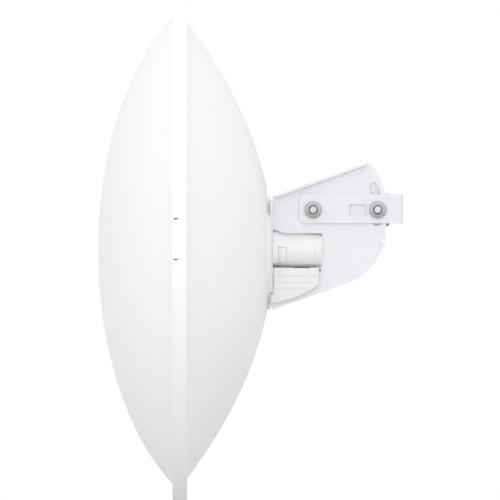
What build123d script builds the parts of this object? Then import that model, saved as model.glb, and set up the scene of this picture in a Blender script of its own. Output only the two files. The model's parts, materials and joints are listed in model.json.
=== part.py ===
from build123d import *
from math import acos, cos, radians, sin, sqrt, tan
import os

# Radome-covered dish antenna on a tilting pole bracket.
# Frame, in mm: +Z up along the pole, the dish looks along -X, and -Y is the antenna's left side.
# The origin lies on the pole's axis, level with the pivot bolt and the lock bolt.

# ---- Driving dimensions: reflector, radome and rim ----
dish_axis_z = -52.0            # height of the dish's axis
rim_radius = 320.0             # outside of the rim band
band_width = 18.3
band_wall = 2.2
lip_thickness = 2.0            # front and rear lips of the band's U section
radome_rise = 95.4             # from the band's front to the radome's apex
radome_depth = 191.2           # axial semi-axis of the radome's ellipse
radome_edge_inset = 9.94       # the radome's edge lies this far inside its flange
radome_wall = 2.5
radome_flange = 3.0
dish_vertex_x = -94.7          # vertex of the dish's back surface, if it weren't flattened
dish_focal = 193.5
dish_wall = 2.4
dish_flange = 2.0
dish_edge_inset = 16.31        # the dish's edge lies this far inside its flange
dish_flat_depth = 7.8          # the centre is flattened this far in front of the vertex
seal_width = 6.0
skirt_gap = 2.5                # from the radome's skirt to the dish's flange

# ---- Driving dimensions: radome latches ----
latch_count = 4
latch_angle = 177.44           # direction of the first latch about the dish's axis, from +Y
latch_span = 9.24              # angle that one latch takes up
latch_slit = 0.5
pry_slot_width = 1.8           # wider stretch of the slit, for a screwdriver's blade
pry_slot_length = 4.9
pry_slot_inset = 2.4           # from the band's front
latch_bead = 3.5               # thickness of the latch's rear edge
cheek_wall = 2.0               # side walls inside each end of a latch
lug_length = 7.0
knuckle_gap = 1.0              # between the knuckle and the flanges inside the band
lip_notch = 0.6                # the rear lip is cut this far inside the flanges, for the open latch
latch_pin_radius = 1.1
knuckle_radius = 3.4
latch_pin_back = 6.0           # pin's distance in front of the band's rear face
latch_pin_depth = 4.6          # pin's depth under the band's outside

# ---- Driving dimensions: feed ----
feed_radius = 19.0
feed_wall = 2.5
feed_front_x = -276.0
waveguide_radius = 13.0
waveguide_wall = 1.5
sub_radius = 33.0
sub_depth = 11.0
cap_wall = 2.0

# ---- Driving dimensions: radio housing ----
housing_radius = 22.0          # rounded sides of the housing
housing_overhang = 8.5         # the housing is this much wider than the bracket, on each side
housing_wall = 2.5
housing_end_x = -32.1
end_cap_length = 9.0
collar_flare = 5.0
collar_length = 16.0
collar_drop = 15.7             # the collar reaches this far below the dish's axis
spigot_wall = 5.0              # of the neck that goes through the dish
spigot_length = 8.0
oring_radius = 1.3
oring_back = 4.0               # in front of the dish's flattened face
boss_radius = 3.6
boss_inset = 7.0               # screws, inwards of the housing's top and underside
screw_offset = 3.0             # screws, outwards of the centres of the housing's round sides
button_forward = 12.4          # the button's middle, behind the base plate
button_length = 10.0
button_height = 21.0
button_sunk = 0.3              # the button lies this far under the housing's skin
button_gap = 0.25
spring_wire = 0.35
spring_turns = 5
spring_radius = 3.0
spring_boss_gap = 1.55         # from the coil down to the screw bosses
spring_rib_depth = 16.5        # from the housing's side in to the rib that the spring rests on
rib_wall = 2.5
rib_reach = 6.0                # to each side of the spring's axis
ledge_y = 22.0                 # ledges that carry the board, on each side
ledge_wall = 2.0
button_wall = 3.0
board_rise = 6.0               # the board lies this far above the housing's underside
board_wall = 1.6
jack_width = 16.0
jack_length = 21.0
jack_height = 14.5
shroud_wall = 2.2
lens_length = 12.0
lens_wall = 2.0

# ---- Driving dimensions: port cover ----
cover_gap = 0.6                # under the housing
cover_front_gap = 0.35         # behind the base plate
cover_toe_gap = 0.5            # under the base plate
cover_rear_x = -36.0
cover_rear_low_z = -92.5       # end of the straight rear edge
cover_heel_x = -42.0           # start of the curved underside
cover_heel_z = -100.5
cover_belly_x = -68.2          # middle of the curved underside
cover_belly_z = -113.3
cover_toe_z = -120.2
cover_toe_reach = 2.6          # the cover's toe reaches this far under the base plate
cover_wall = 2.4
cover_edge = 2.6               # rounding of the side wings
cover_middle_back = 13.5       # front of the middle box, behind the base plate
bridge_pitch = 12.0
cover_bridge = 10.0            # height of the bridges from the middle box to the side wings
cover_floor_z = -108.7         # underside of the floor at the cable inlet
cover_floor_slope = 26.0
grommet_radius = 8.0
rib_count = 3
rib_pitch = 8.4
rib_drop = 10.1                # first grip groove, below the cover's top
rib_width = 1.2
rib_depth = 0.7
rib_start = 5.0                # from the cover's front

# ---- Driving dimensions: bracket ----
sheet = 3.0
backing_radius = 72.0
backing_wall = 4.2
backing_drop = 3.5             # the backing plate sits lower than the dish's axis
base_margin = 6.0              # the base plate is wider than the housing by this, on each side
base_top_z = 12.5
base_bottom_z = -107.8
base_corner = 14.0
plate_inner_y = 38.5
plate_slope = 19.7             # rise of the side plate's top and bottom edges
plate_top_z = 17.3             # top edge at the base plate
plate_bottom_z = -127.9        # bottom edge at the base plate
plate_peak_x = 24.7            # end of the straight top edge
plate_shoulder_x = 31.5        # start of the rear arc about the pivot
plate_arc_radius = 94.7
plate_arc_low_z = -21.0
plate_heel_x = 48.6
plate_heel_z = -41.5
plate_belly_x = 31.5           # middle of the curve from the heel to the bottom edge
plate_belly_z = -72.0
plate_sole_x = 3.5             # start of the straight bottom edge
plate_toe = 3.5                # the toe that reaches under the base plate
plate_toe_rise = 5.7
plate_toe_height = 4.2
notch_gap = 0.5                # round the top of the housing
notch_rear_gap = 0.9
notch_bottom = 0.9             # the opening goes this far below the housing
notch_cover_inset = 3.5        # the part under the housing ends this far in front of the cover's rear edge
notch_ledge = 10.5             # metal left under that part
catch_hole_x = -33.4           # rear end of the small hole behind the port cover, in the left plate only
catch_hole_length = 3.8
catch_hole_height = 5.2
sight_notch_z = -39.6          # tilt mark cut in the rear edge
sight_notch_height = 3.6
sight_notch_depth = 4.4
pivot_x = -43.6
lock_x = 39.0
slot_radius_margin = 0.7
slot_overrun = 0.5             # degrees past each end of the tilt
tilt_up = 20.0                 # dish turned up and down about the pivot bolt
tilt_down = 10.0
top_lip = 8.0
bottom_lip = 7.0
flange_end_gap = 1.5           # the top flange stops this far before the peak
bottom_lip_gap = 12.5          # and the bottom one before the sole
dish_bolt_y = 26.0
dish_bolt_z = 38.0             # above and below the dish's axis
arm_height = 37.3
arm_centre_z = 1.3
arm_front_x = -61.2
arm_corner = 7.0
strap_rear_x = 71.3
strap_window_x = 13.5
strap_window_length = 22.3
strap_window_height = 15.0

# ---- Driving dimensions: pole clamp and fasteners ----
pole_radius = 20.0
saddle_side_gap = 2.3          # to the side plates
saddle_height = 56.0
saddle_gap = 6.0               # from the pole's axis to each saddle's open face
saddle_back = 10.0             # metal behind the pole
jaw_travel = 9.0
clamp_bolt_margin = 7.2        # from the saddle's end to the bolt's axis
clamp_bolt_z = 17.0
clamp_bolt_end_x = 53.9
m10_radius = 5.0
m8_radius = 4.0
m3_radius = 1.5
m10_nut_flats = 15.0
m10_nut_height = 9.6
m10_flange = 11.4              # radius of the nut's serrated flange
m8_nut_flats = 13.0
slot_washer_wall = 1.2
slot_washer_margin = 1.9       # the long washer is wider than the slot by this, on each side

# ---- Clearances ----
running = 0.05                 # radial, shafts in bores that turn or slide
free = 0.3                     # between faces of parts that move past each other
hole_play = 0.25               # radial, bolts in plain holes

# ---- Places that follow from the sizes above ----
latch_pin_r = rim_radius - latch_pin_depth
flange_radius = latch_pin_r - knuckle_radius - knuckle_gap
dish_edge_radius = flange_radius - dish_edge_inset
dish_flat_x = dish_vertex_x - dish_flat_depth
lip_rear_x = dish_vertex_x - dish_edge_radius**2 / (4 * dish_focal)
band_rear_x = lip_rear_x + lip_thickness
band_front_x = band_rear_x - band_width
lip_front_x = band_front_x + lip_thickness
latch_pin_x = band_rear_x - latch_pin_back
radome_centre_x = band_front_x - radome_rise + radome_depth
radome_edge_radius = flange_radius - radome_edge_inset
radome_semi_radius = radome_edge_radius / sqrt(1 - ((lip_front_x - radome_centre_x) / radome_depth) ** 2)
plate_outer_y = plate_inner_y + sheet
arm_inner_y = plate_outer_y + free
arm_outer_y = arm_inner_y + sheet
base_front_x = dish_flat_x + backing_wall
base_rear_x = base_front_x + sheet
housing_half_width = plate_outer_y + housing_overhang
housing_side_y = housing_half_width - housing_radius
housing_top_z = dish_axis_z + housing_radius
housing_bottom_z = dish_axis_z - housing_radius
base_half_width = housing_half_width + base_margin
spigot_radius = feed_radius + spigot_wall
oring_x = dish_flat_x - oring_back
button_x = base_rear_x + button_forward
button_z = housing_bottom_z + boss_inset + boss_radius + spring_boss_gap + spring_wire + spring_radius
spring_rib_y = housing_half_width - spring_rib_depth
board_z = housing_bottom_z + board_rise
cover_top_z = housing_bottom_z - cover_gap
cover_front_x = base_rear_x + cover_front_gap
cover_toe_x = base_rear_x - cover_toe_reach
slot_radius = lock_x - pivot_x
slot_half_width = m10_radius + slot_radius_margin
saddle_half_width = plate_inner_y - saddle_side_gap
saddle_thickness = pole_radius - saddle_gap + saddle_back
saddle_front_x = -saddle_gap - saddle_thickness
clamp_bolt_y = saddle_half_width - clamp_bolt_margin
washer_inner_y = plate_inner_y - free - slot_washer_wall
rise = tan(radians(plate_slope))


# ---- Small helpers ----
def block(x0, x1, y0, y1, z0, z1):
    return Pos((x0 + x1) / 2, (y0 + y1) / 2, (z0 + z1) / 2) * Box(x1 - x0, y1 - y0, z1 - z0)


def rod_x(radius, x0, x1, y=0.0, z=0.0):
    return Pos((x0 + x1) / 2, y, z) * Rot(0, 90, 0) * Cylinder(radius, x1 - x0)


def rod_y(radius, y0, y1, x=0.0, z=0.0):
    return Pos(x, (y0 + y1) / 2, z) * Rot(90, 0, 0) * Cylinder(radius, y1 - y0)


def nut_x(across_flats, x0, x1, y, z):
    flat = RegularPolygon(across_flats / 2, 6, major_radius=False)
    prism = extrude(flat, x1 - x0)
    return Pos(x0, y, z) * Rot(0, 90, 0) * prism


def nut_y(across_flats, y0, y1, x, z):
    flat = RegularPolygon(across_flats / 2, 6, major_radius=False)
    prism = extrude(flat, y1 - y0)
    return Pos(x, y1, z) * Rot(90, 0, 0) * prism


def spun(profile):
    # A section drawn as (x, radius) turned about the dish's axis.
    return Pos(0, 0, dish_axis_z) * revolve(profile, Axis.X)


def strip(x0, x1, r0, r1):
    return Pos((x0 + x1) / 2, (r0 + r1) / 2) * Rectangle(x1 - x0, r1 - r0)


def side_sheet(outline, inner_y, thickness):
    # An outline drawn as (x, z), made a sheet on the antenna's left, from |y| = inner_y outwards.
    return extrude(Plane.XZ.offset(inner_y) * outline, thickness)


def on_right(part):
    return mirror(part, about=Plane.XZ)


def both_sides(part):
    return [part, on_right(part)]


def stadium(radius, half_width):
    # Section of the housing in the y-z plane, centred on the dish's axis.
    flat = SlotCenterToCenter(2 * (half_width - radius), 2 * radius)
    return Plane.YZ * flat


def stadium_bar(radius, half_width, x0, x1):
    bar = extrude(stadium(radius, half_width), x1 - x0)
    return Pos(x0, 0, dish_axis_z) * bar


def save(name, *solids):
    found = []
    for item in solids:
        found.extend(item if isinstance(item, list) else [item])
    pieces = []
    for item in found:
        pieces.extend(item.solids())
    shape = pieces[0] if len(pieces) == 1 else Compound(children=pieces)
    shape.label = name
    export_step(shape, f"parts/{name}.step")


# ---- Reflector unit ----
def dish_back_x(radius):
    return dish_vertex_x - radius**2 / (4 * dish_focal)


def dish_radius_at(x):
    return sqrt((dish_vertex_x - x) * 4 * dish_focal)


def parabola(x_shift, r0, r1):
    # A parabola is exactly one quadratic curve whose middle control point is where its end tangents meet.
    start_slope = -2 * r0 / (4 * dish_focal)
    middle = (dish_back_x(r0) + start_slope * (r1 - r0) / 2 + x_shift, (r0 + r1) / 2)
    start = (dish_back_x(r0) + x_shift, r0)
    return Bezier(start, middle, (dish_back_x(r1) + x_shift, r1))


def reflector_dish():
    hole = spigot_radius + hole_play
    flat_r = dish_radius_at(dish_flat_x)
    flange_rear = lip_rear_x
    flange_front = lip_rear_x - dish_flange
    back_r = dish_radius_at(flange_rear)
    front_r = dish_radius_at(flange_front + dish_wall)
    back = parabola(0, flat_r, back_r)
    front = parabola(-dish_wall, flat_r, front_r)
    edges = [
        Line((dish_flat_x, hole), (dish_flat_x, flat_r)),
        back,
        Line((flange_rear, back_r), (flange_rear, flange_radius)),
        Line((flange_rear, flange_radius), (flange_front, flange_radius)),
        Line((flange_front, flange_radius), (flange_front, front_r)),
        front,
        Line((dish_flat_x - dish_wall, flat_r), (dish_flat_x - dish_wall, hole)),
        Line((dish_flat_x - dish_wall, hole), (dish_flat_x, hole)),
    ]
    dish = spun(make_face(edges))
    for y, z in dish_bolt_places():
        dish -= rod_x(m8_radius + hole_play, dish_flat_x - 10, dish_flat_x + 5, y, z)
    return dish


def ellipse_arc(wall, x_end):
    # The radome's ellipse, shrunk by wall, from its edge at x_end to its apex, as one exact rational curve.
    depth = radome_depth - wall
    radius = radome_semi_radius - wall
    start = acos((x_end - radome_centre_x) / depth)
    half = (radians(180) - start) / 2
    middle = start + half
    corner = (radome_centre_x + depth * cos(middle) / cos(half), radius * sin(middle) / cos(half))
    edge = (x_end, radius * sin(start))
    return Bezier(edge, corner, (radome_centre_x - depth, 0), weights=[1, cos(half), 1])


def radome():
    flange_rear = lip_front_x + radome_flange
    skirt_rear = lip_rear_x - dish_flange - skirt_gap
    skirt_in = flange_radius - radome_flange
    outer = ellipse_arc(0, lip_front_x)
    inner = ellipse_arc(radome_wall, flange_rear)
    edges = [
        outer,
        Line(outer @ 1, inner @ 1),
        inner,
        Line(inner @ 0, (flange_rear, skirt_in)),
        Line((flange_rear, skirt_in), (skirt_rear, skirt_in)),
        Line((skirt_rear, skirt_in), (skirt_rear, flange_radius)),
        Line((skirt_rear, flange_radius), (lip_front_x, flange_radius)),
        Line((lip_front_x, flange_radius), outer @ 0),
    ]
    return spun(make_face(edges))


def radome_seal():
    outer_r = flange_radius - radome_flange - 1.0
    return spun(strip(lip_front_x + radome_flange, lip_rear_x - dish_flange, outer_r - seal_width, outer_r))


def latch_turns():
    return [latch_angle + 360 / latch_count * i for i in range(latch_count)]


def placed_latch(part, turn):
    # A latch piece is built with its middle towards +Y and turned about the dish's axis.
    return Pos(0, 0, dish_axis_z) * Rot(turn, 0, 0) * part


def sector(profile, span):
    # Part of a ring, with its middle towards +Y.
    return Rot(-span / 2, 0, 0) * revolve(profile, Axis.X, revolution_arc=span)


def latch_half_length():
    return rim_radius * sin(radians(latch_span / 2)) - latch_slit / 2


def tangent_rod(radius, z0, z1):
    # Along the hinge pin, which lies straight across the band's inside.
    return Pos(latch_pin_x, latch_pin_r, (z0 + z1) / 2) * Cylinder(radius, z1 - z0)


def front_lip_radius():
    return radome_edge_radius + 0.5


def pry_slots():
    # Wide stretch of the slit at each end of a latch.
    start = band_front_x + pry_slot_inset
    cuts = []
    for side in (-1, 1):
        middle = side * (latch_half_length() + latch_slit / 2)
        cuts.append(block(start, start + pry_slot_length, flange_radius + 2, rim_radius + 5,
                          middle - pry_slot_width / 2, middle + pry_slot_width / 2))
    return cuts


def rim_band():
    lip_in = front_lip_radius()
    rear_in = dish_edge_radius + 0.6
    section = strip(band_front_x, lip_front_x, lip_in, rim_radius)
    section += strip(band_front_x, band_rear_x, rim_radius - band_wall, rim_radius)
    section += strip(lip_rear_x, band_rear_x, rear_in, rim_radius)
    band = spun(section)
    # Each latch takes the place of the whole section, apart from the rear lip that holds the dish.
    half = latch_half_length()
    edge = half + latch_slit / 2
    gate = block(band_front_x - 5, lip_rear_x, lip_in - 10, rim_radius + 5, -edge, edge)
    gate += block(lip_rear_x - 1, band_rear_x + 5, flange_radius - lip_notch, rim_radius + 5, -edge, edge)
    for turn in latch_turns():
        band -= placed_latch(gate, turn)
        for side in (-1, 1):
            near = side * (half + latch_slit)
            far = side * (half + latch_slit + lug_length)
            low = min(near, far)
            high = max(near, far)
            lug = tangent_rod(knuckle_radius, low, high)
            web = block(latch_pin_x, lip_rear_x, latch_pin_r - 1.5, latch_pin_r + 2.5, low, high)
            band += placed_latch(lug + web, turn)
            band -= placed_latch(tangent_rod(latch_pin_radius, low - 1, high + 1), turn)
        for cut in pry_slots():
            band -= placed_latch(cut, turn)
    return band


def radome_latch(turn):
    half = latch_half_length()
    skin = rim_radius - band_wall
    section = strip(band_front_x, lip_front_x, front_lip_radius(), rim_radius)
    section += strip(band_front_x, band_rear_x, skin, rim_radius)
    section += strip(band_rear_x - lip_thickness, band_rear_x, rim_radius - latch_bead, rim_radius)
    ring = sector(section, 1.2 * latch_span)
    ring &= block(band_front_x - 5, band_rear_x + 5, 0, rim_radius + 5, -half, half)
    latch = ring + tangent_rod(knuckle_radius, -half, half)
    cheek_low = flange_radius + knuckle_gap / 2
    for side in (-1, 1):
        low = min(side * half, side * (half - cheek_wall))
        latch += block(lip_front_x, latch_pin_x, cheek_low, skin + 0.5, low, low + cheek_wall)
    latch -= tangent_rod(latch_pin_radius + running, -half - 1, half + 1)
    for cut in pry_slots():
        latch -= cut
    return placed_latch(latch, turn)


def latch_pins():
    half = latch_half_length() + latch_slit + lug_length - 1.0
    return [placed_latch(tangent_rod(latch_pin_radius, -half, half), turn) for turn in latch_turns()]


def dish_bolt_places():
    return [(sy * dish_bolt_y, dish_axis_z + sz * dish_bolt_z) for sy in (-1, 1) for sz in (-1, 1)]


def backing_plate():
    centre_z = dish_axis_z - backing_drop
    plate = rod_x(backing_radius, dish_flat_x, base_front_x, 0, centre_z)
    rear_edge = plate.edges().sort_by(Axis.X)[-1]
    plate = fillet(rear_edge, 1.2)
    plate -= rod_x(spigot_radius + hole_play, dish_flat_x - 1, base_front_x + 1, 0, dish_axis_z)
    for y, z in dish_bolt_places():
        plate -= rod_x(m8_radius + hole_play, dish_flat_x - 1, base_front_x + 1, y, z)
    return plate


def dish_bolts():
    bolts = []
    front = dish_flat_x - dish_wall
    for y, z in dish_bolt_places():
        head = rod_x(2.2 * m8_radius, front - 3.0, front, y, z)
        head = fillet(head.edges().sort_by(Axis.X)[0], 2.0)
        bolts.append(head + rod_x(m8_radius, front - 1, base_rear_x + 10.5, y, z))
    return bolts


def dish_nuts():
    nuts = []
    for y, z in dish_bolt_places():
        nut = rod_x(2.1 * m8_radius, base_rear_x, base_rear_x + 1.6, y, z)
        nut += nut_x(m8_nut_flats, base_rear_x + 1.0, base_rear_x + 8.0, y, z)
        nuts.append(nut - rod_x(m8_radius, base_rear_x - 1, base_rear_x + 12, y, z))
    return nuts


# ---- Feed ----
def feed_tube():
    rear = base_front_x
    section = strip(feed_front_x, rear, feed_radius - feed_wall, feed_radius)
    return spun(section)


def feed_oring():
    return spun(Pos(oring_x, feed_radius + oring_radius) * Circle(oring_radius))


def waveguide():
    tube = strip(feed_front_x + 14, base_front_x + 14, waveguide_radius - waveguide_wall, waveguide_radius)
    foot_radius = (waveguide_radius + housing_radius - housing_wall) / 2
    foot = strip(base_front_x + 11, base_front_x + 14, waveguide_radius - waveguide_wall, foot_radius)
    support = strip(feed_front_x + 14, feed_front_x + 18, waveguide_radius - 0.1, feed_radius - feed_wall)
    return spun(tube + foot + support)


def sub_reflector():
    back = feed_front_x
    front = feed_front_x - sub_depth
    cone = make_face(Polyline(
        (back + 12, 0), (back + 12, 2.5), (back - 1, 8.0), (front + 2, sub_radius), (front, sub_radius),
        (front, 0), close=True))
    return spun(cone)


def feed_cap():
    # Covers the sub-reflector and closes the feed tube's end, with the tube's wall let into its neck.
    front = feed_front_x - sub_depth
    outer_r = sub_radius + cap_wall + 0.4
    face = strip(front - cap_wall, front, 0, outer_r)
    skirt = strip(front, front + 7.0, sub_radius + 0.4, outer_r)
    cone = make_face(Polyline(
        (front + 7.0, outer_r), (front + 7.0, outer_r - cap_wall), (feed_front_x + 8, feed_radius),
        (feed_front_x + 16, feed_radius), (feed_front_x + 16, feed_radius + cap_wall),
        (feed_front_x + 8, feed_radius + cap_wall), close=True))
    return spun(face + skirt + cone)


# ---- Radio housing ----
def button_window(grow):
    half_l = button_length / 2 + grow
    half_h = button_height / 2 + grow
    reach = housing_half_width + 2 * collar_flare
    return block(button_x - half_l, button_x + half_l, -reach, reach, button_z - half_h, button_z + half_h)


def button_side():
    # Everything on the antenna's left of the rib that the release spring rests on.
    return block(2 * base_front_x, 0, -2 * housing_half_width, -spring_rib_y + 3.5, 2 * base_bottom_z, 0)


def rear_housing():
    end = housing_end_x - end_cap_length
    shell = stadium_bar(housing_radius, housing_half_width, base_front_x, end)
    hollow = stadium_bar(housing_radius - housing_wall, housing_half_width - housing_wall,
                         base_front_x + housing_wall, end + 1)
    wide = stadium(housing_radius + collar_flare, housing_half_width + collar_flare)
    narrow = stadium(housing_radius, housing_half_width)
    collar_x = base_rear_x + 0.2
    collar_end = collar_x + collar_length
    collar = loft([Pos(collar_x, 0, dish_axis_z) * wide, Pos(collar_end, 0, dish_axis_z) * narrow])
    collar &= block(collar_x - 1, collar_end + 1, -base_half_width, base_half_width,
                    dish_axis_z - collar_drop, base_top_z)
    spigot = rod_x(spigot_radius, dish_flat_x - spigot_length, base_front_x, 0, dish_axis_z)
    housing = shell + collar + spigot - hollow
    housing -= rod_x(feed_radius, dish_flat_x - 20, base_front_x, 0, dish_axis_z)
    housing -= rod_x(waveguide_radius, base_front_x - 1, base_front_x + 10, 0, dish_axis_z)
    housing -= spun(Pos(oring_x, feed_radius + oring_radius) * Circle(oring_radius))
    for side in both_sides(button_side()):
        housing -= button_window(button_gap) & side
    housing += port_shroud()
    housing -= jack_block(0.2)
    inside = stadium_bar(housing_radius - 1, housing_half_width - 1, base_front_x + 1, end)
    spring_rib = block(button_x - rib_reach, button_x + rib_reach, -spring_rib_y, -spring_rib_y + rib_wall,
                       2 * dish_axis_z, 0) & inside
    ledge = block(base_front_x + 18, end - 3, -ledge_y, -ledge_y + ledge_wall, 2 * dish_axis_z,
                  board_z - board_wall / 2) & inside
    for piece in both_sides(spring_rib) + both_sides(ledge):
        housing += piece
    for y, z in screw_places():
        housing += rod_x(boss_radius, base_front_x + 1, end, y, z) & inside
        housing -= rod_x(m3_radius, end - 12, end + 1, y, z)
    return housing


def screw_places():
    half_y = housing_side_y + screw_offset
    half_z = housing_radius - boss_inset
    return [(sy * half_y, dish_axis_z + sz * half_z) for sy in (-1, 1) for sz in (-1, 1)]


def jack_centre_x():
    return (base_rear_x + housing_end_x) / 2 + 6.0


def jack_block(grow):
    x = jack_centre_x()
    top = board_z - board_wall / 2
    return block(x - jack_width / 2 - grow, x + jack_width / 2 + grow, -jack_height / 2 - grow,
                 jack_height / 2 + grow, top - jack_length - grow * 5, top)


def port_shroud():
    # Short collar under the housing around the socket.
    x = jack_centre_x()
    bottom = board_z - board_wall / 2 - jack_length
    half_x = jack_width / 2 + shroud_wall
    half_y = jack_height / 2 + shroud_wall
    return block(x - half_x, x + half_x, -half_y, half_y, bottom, housing_bottom_z + housing_wall)


def housing_gasket():
    end = housing_end_x - end_cap_length
    ring = stadium_bar(housing_radius - 0.6, housing_half_width - 0.6, end, end + 0.8)
    ring -= stadium_bar(housing_radius - 2.2, housing_half_width - 2.2, end - 1, end + 2)
    return ring


def end_cap():
    start = housing_end_x - end_cap_length + 0.8
    cap = stadium_bar(housing_radius, housing_half_width, start, housing_end_x)
    rim = cap.faces().sort_by(Axis.X)[-1].edges()
    cap = fillet(rim, 3.0)
    groove_x = housing_end_x - 4.0
    groove = stadium_bar(housing_radius + 1, housing_half_width + 1, groove_x - 0.5, groove_x + 0.5)
    groove -= stadium_bar(housing_radius - 0.6, housing_half_width - 0.6, groove_x - 2, groove_x + 2)
    cap -= groove
    inside = stadium_bar(housing_radius - housing_wall, housing_half_width - housing_wall, start - 1,
                         housing_end_x - housing_wall - 1.5)
    for y, z in screw_places():
        inside -= rod_x(4.2, start - 2, housing_end_x, y, z)
    cap -= inside
    for y, z in screw_places():
        cap -= rod_x(m3_radius + hole_play, start - 1, housing_end_x + 1, y, z)
        cap -= rod_x(3.1, housing_end_x - 2.6, housing_end_x + 1, y, z)
    return cap


def housing_screws():
    screws = []
    for y, z in screw_places():
        head = rod_x(2.75, housing_end_x - 2.6, housing_end_x - 0.6, y, z)
        socket = nut_x(2.5, housing_end_x - 1.8, housing_end_x, y, z)
        shank = rod_x(m3_radius, housing_end_x - end_cap_length - 8, housing_end_x - 2.0, y, z)
        screws.append(head + shank - socket)
    return screws


def radio_board():
    half_y = housing_side_y + screw_offset - boss_radius - free
    board = block(base_front_x + 16, housing_end_x - end_cap_length - 1.5, -half_y, half_y,
                  board_z - board_wall / 2, board_z + board_wall / 2)
    return board


def shield_cans():
    top = board_z + board_wall / 2
    first = block(base_front_x + 19, base_front_x + 43, -24, -4, top, top + 5)
    second = block(base_front_x + 19, base_front_x + 37, 4, 25, top, top + 4)
    return [first, second]


def ethernet_jack():
    x = jack_centre_x()
    jack = jack_block(0)
    bottom = board_z - board_wall / 2 - jack_length
    jack -= block(x - 6.0, x + 6.0, -4.2, 4.2, bottom - 1, bottom + 14)
    jack -= block(x - 2.2, x + 2.2, -6.0, -4.0, bottom - 1, bottom + 14)
    return jack


def status_lens():
    x = jack_centre_x()
    bottom = board_z - board_wall / 2 - jack_length
    low = jack_height / 2 + shroud_wall
    half_x = lens_length / 2
    return block(x - half_x, x + half_x, low, low + lens_wall, bottom, housing_bottom_z)


def release_button():
    # A curved pad that follows the housing's rounded side, with a stem for its spring.
    pad = stadium_bar(housing_radius - button_sunk, housing_half_width - button_sunk, base_rear_x,
                      housing_end_x)
    pad -= stadium_bar(housing_radius - button_wall, housing_half_width - button_wall, base_front_x,
                       housing_end_x + 5)
    pad &= button_window(0)
    pad &= button_side()
    stem = rod_y(1.8, -housing_half_width + 1.0, -spring_rib_y - 5.5, button_x, button_z)
    return pad + stem


def release_spring():
    # Coil between the rib in the housing and the button's back.
    start = spring_rib_y + spring_wire
    coil_low = button_z - spring_radius - dish_axis_z
    back_y = housing_side_y + sqrt((housing_radius - button_wall) ** 2 - coil_low**2)
    height = back_y - spring_rib_y - 3 * spring_wire
    path = Helix(height / spring_turns, height, spring_radius)
    wire = sweep(Plane(path @ 0, z_dir=path % 0) * Circle(spring_wire), path, transition=Transition.RIGHT)
    return Pos(button_x, -start, button_z) * Rot(90, 0, 0) * wire


# ---- Port cover ----
def cover_outline():
    rear = cover_rear_x
    toe_top_z = base_bottom_z - cover_toe_gap
    heel = (cover_heel_x, cover_heel_z)
    corner = (rear - 1.8, (cover_rear_low_z + cover_heel_z) / 2 - 0.7)
    toe = (cover_toe_x, cover_toe_z)
    edges = [
        Line((cover_front_x, cover_top_z), (rear, cover_top_z)),
        Line((rear, cover_top_z), (rear, cover_rear_low_z)),
        ThreePointArc((rear, cover_rear_low_z), corner, heel),
        ThreePointArc(heel, (cover_belly_x, cover_belly_z), toe),
        Line(toe, (cover_toe_x, toe_top_z)),
        Line((cover_toe_x, toe_top_z), (cover_front_x, toe_top_z)),
        Line((cover_front_x, toe_top_z), (cover_front_x, cover_top_z)),
    ]
    return make_face(edges)


def cover_wing():
    # Side cheek outside the side plate, hollow towards the plate and ribbed for grip.
    inner = plate_outer_y + free
    depth = housing_half_width - inner
    wing = side_sheet(cover_outline(), inner, depth)
    rounded = wing.faces().sort_by(Axis.Y)[0].edges().filter_by(lambda e: e.center().Z < cover_top_z - 1)
    wing = fillet(rounded, cover_edge)
    pocket = side_sheet(offset(cover_outline(), -cover_wall), inner - 1, depth - cover_wall + 1)
    wing -= pocket
    start = cover_front_x + rib_start
    for i in range(rib_count):
        z = cover_top_z - rib_drop - i * rib_pitch
        end = cover_rear_x - rib_start - 3.0 * i**2
        wing -= block(start, end, -housing_half_width - 1, -housing_half_width + rib_depth,
                      z - rib_width / 2, z + rib_width / 2)
    return wing


def middle_half_width():
    return plate_inner_y - bottom_lip - 1.0


def cover_middle():
    # Box between the side plates, open at the top, with its floor following the cover's outline.
    half = middle_half_width()
    front = base_rear_x + cover_middle_back
    outline = cover_outline() & (Pos(front / 2, base_bottom_z) * Rectangle(-front, -2 * base_bottom_z))
    box = side_sheet(outline, -half, 2 * half)
    room = offset(outline, -cover_wall)
    room += room.moved(Location((0, cover_wall * 2, 0)))
    box -= side_sheet(room, -half + cover_wall, 2 * (half - cover_wall))
    return box


def port_cover():
    cover = cover_middle()
    half = middle_half_width()
    wings = both_sides(cover_wing())
    low = cover_top_z - cover_bridge
    for wing in wings:
        cover += wing
    reach = plate_outer_y + free + 0.5
    front = base_rear_x + cover_middle_back
    for x in (front, front + bridge_pitch):
        bridge = block(x, x + cover_wall, -reach, -half + 1, low, cover_top_z)
        cover += bridge
        cover += on_right(bridge)
    return cover - placed_inlet(Cylinder(grommet_radius, 30))


def placed_inlet(part):
    # Turned square to the cover's floor and moved to the middle of its wall, under the socket.
    turn = Rot(0, -cover_floor_slope, 0)
    middle = cover_wall / 2 / cos(radians(cover_floor_slope))
    return Pos(jack_centre_x(), 0, cover_floor_z + middle) * turn * part


def cable_grommet():
    # Blank rubber grommet, pierced only when a cable is fitted.
    lip = 2.0
    seat = cover_wall / 2 + 0.5
    body = Cylinder(grommet_radius, 2 * seat + 1)
    body += Pos(0, 0, seat + lip / 2) * Cylinder(grommet_radius + 1.6, lip)
    body += Pos(0, 0, -seat - lip / 2) * Cylinder(grommet_radius + 1.2, lip)
    return placed_inlet(body)


# ---- Bracket ----
def base_plate():
    height = base_top_z - base_bottom_z
    flat = RectangleRounded(2 * base_half_width, height, base_corner)
    plate = Pos(base_front_x, 0, (base_top_z + base_bottom_z) / 2) * extrude(Plane.YZ * flat, sheet)
    plate -= stadium_bar(housing_radius + hole_play, housing_half_width + hole_play, base_front_x - 1,
                         base_rear_x + 1)
    for y, z in dish_bolt_places():
        plate -= rod_x(m8_radius + hole_play, base_front_x - 1, base_rear_x + 1, y, z)
    return plate


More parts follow.
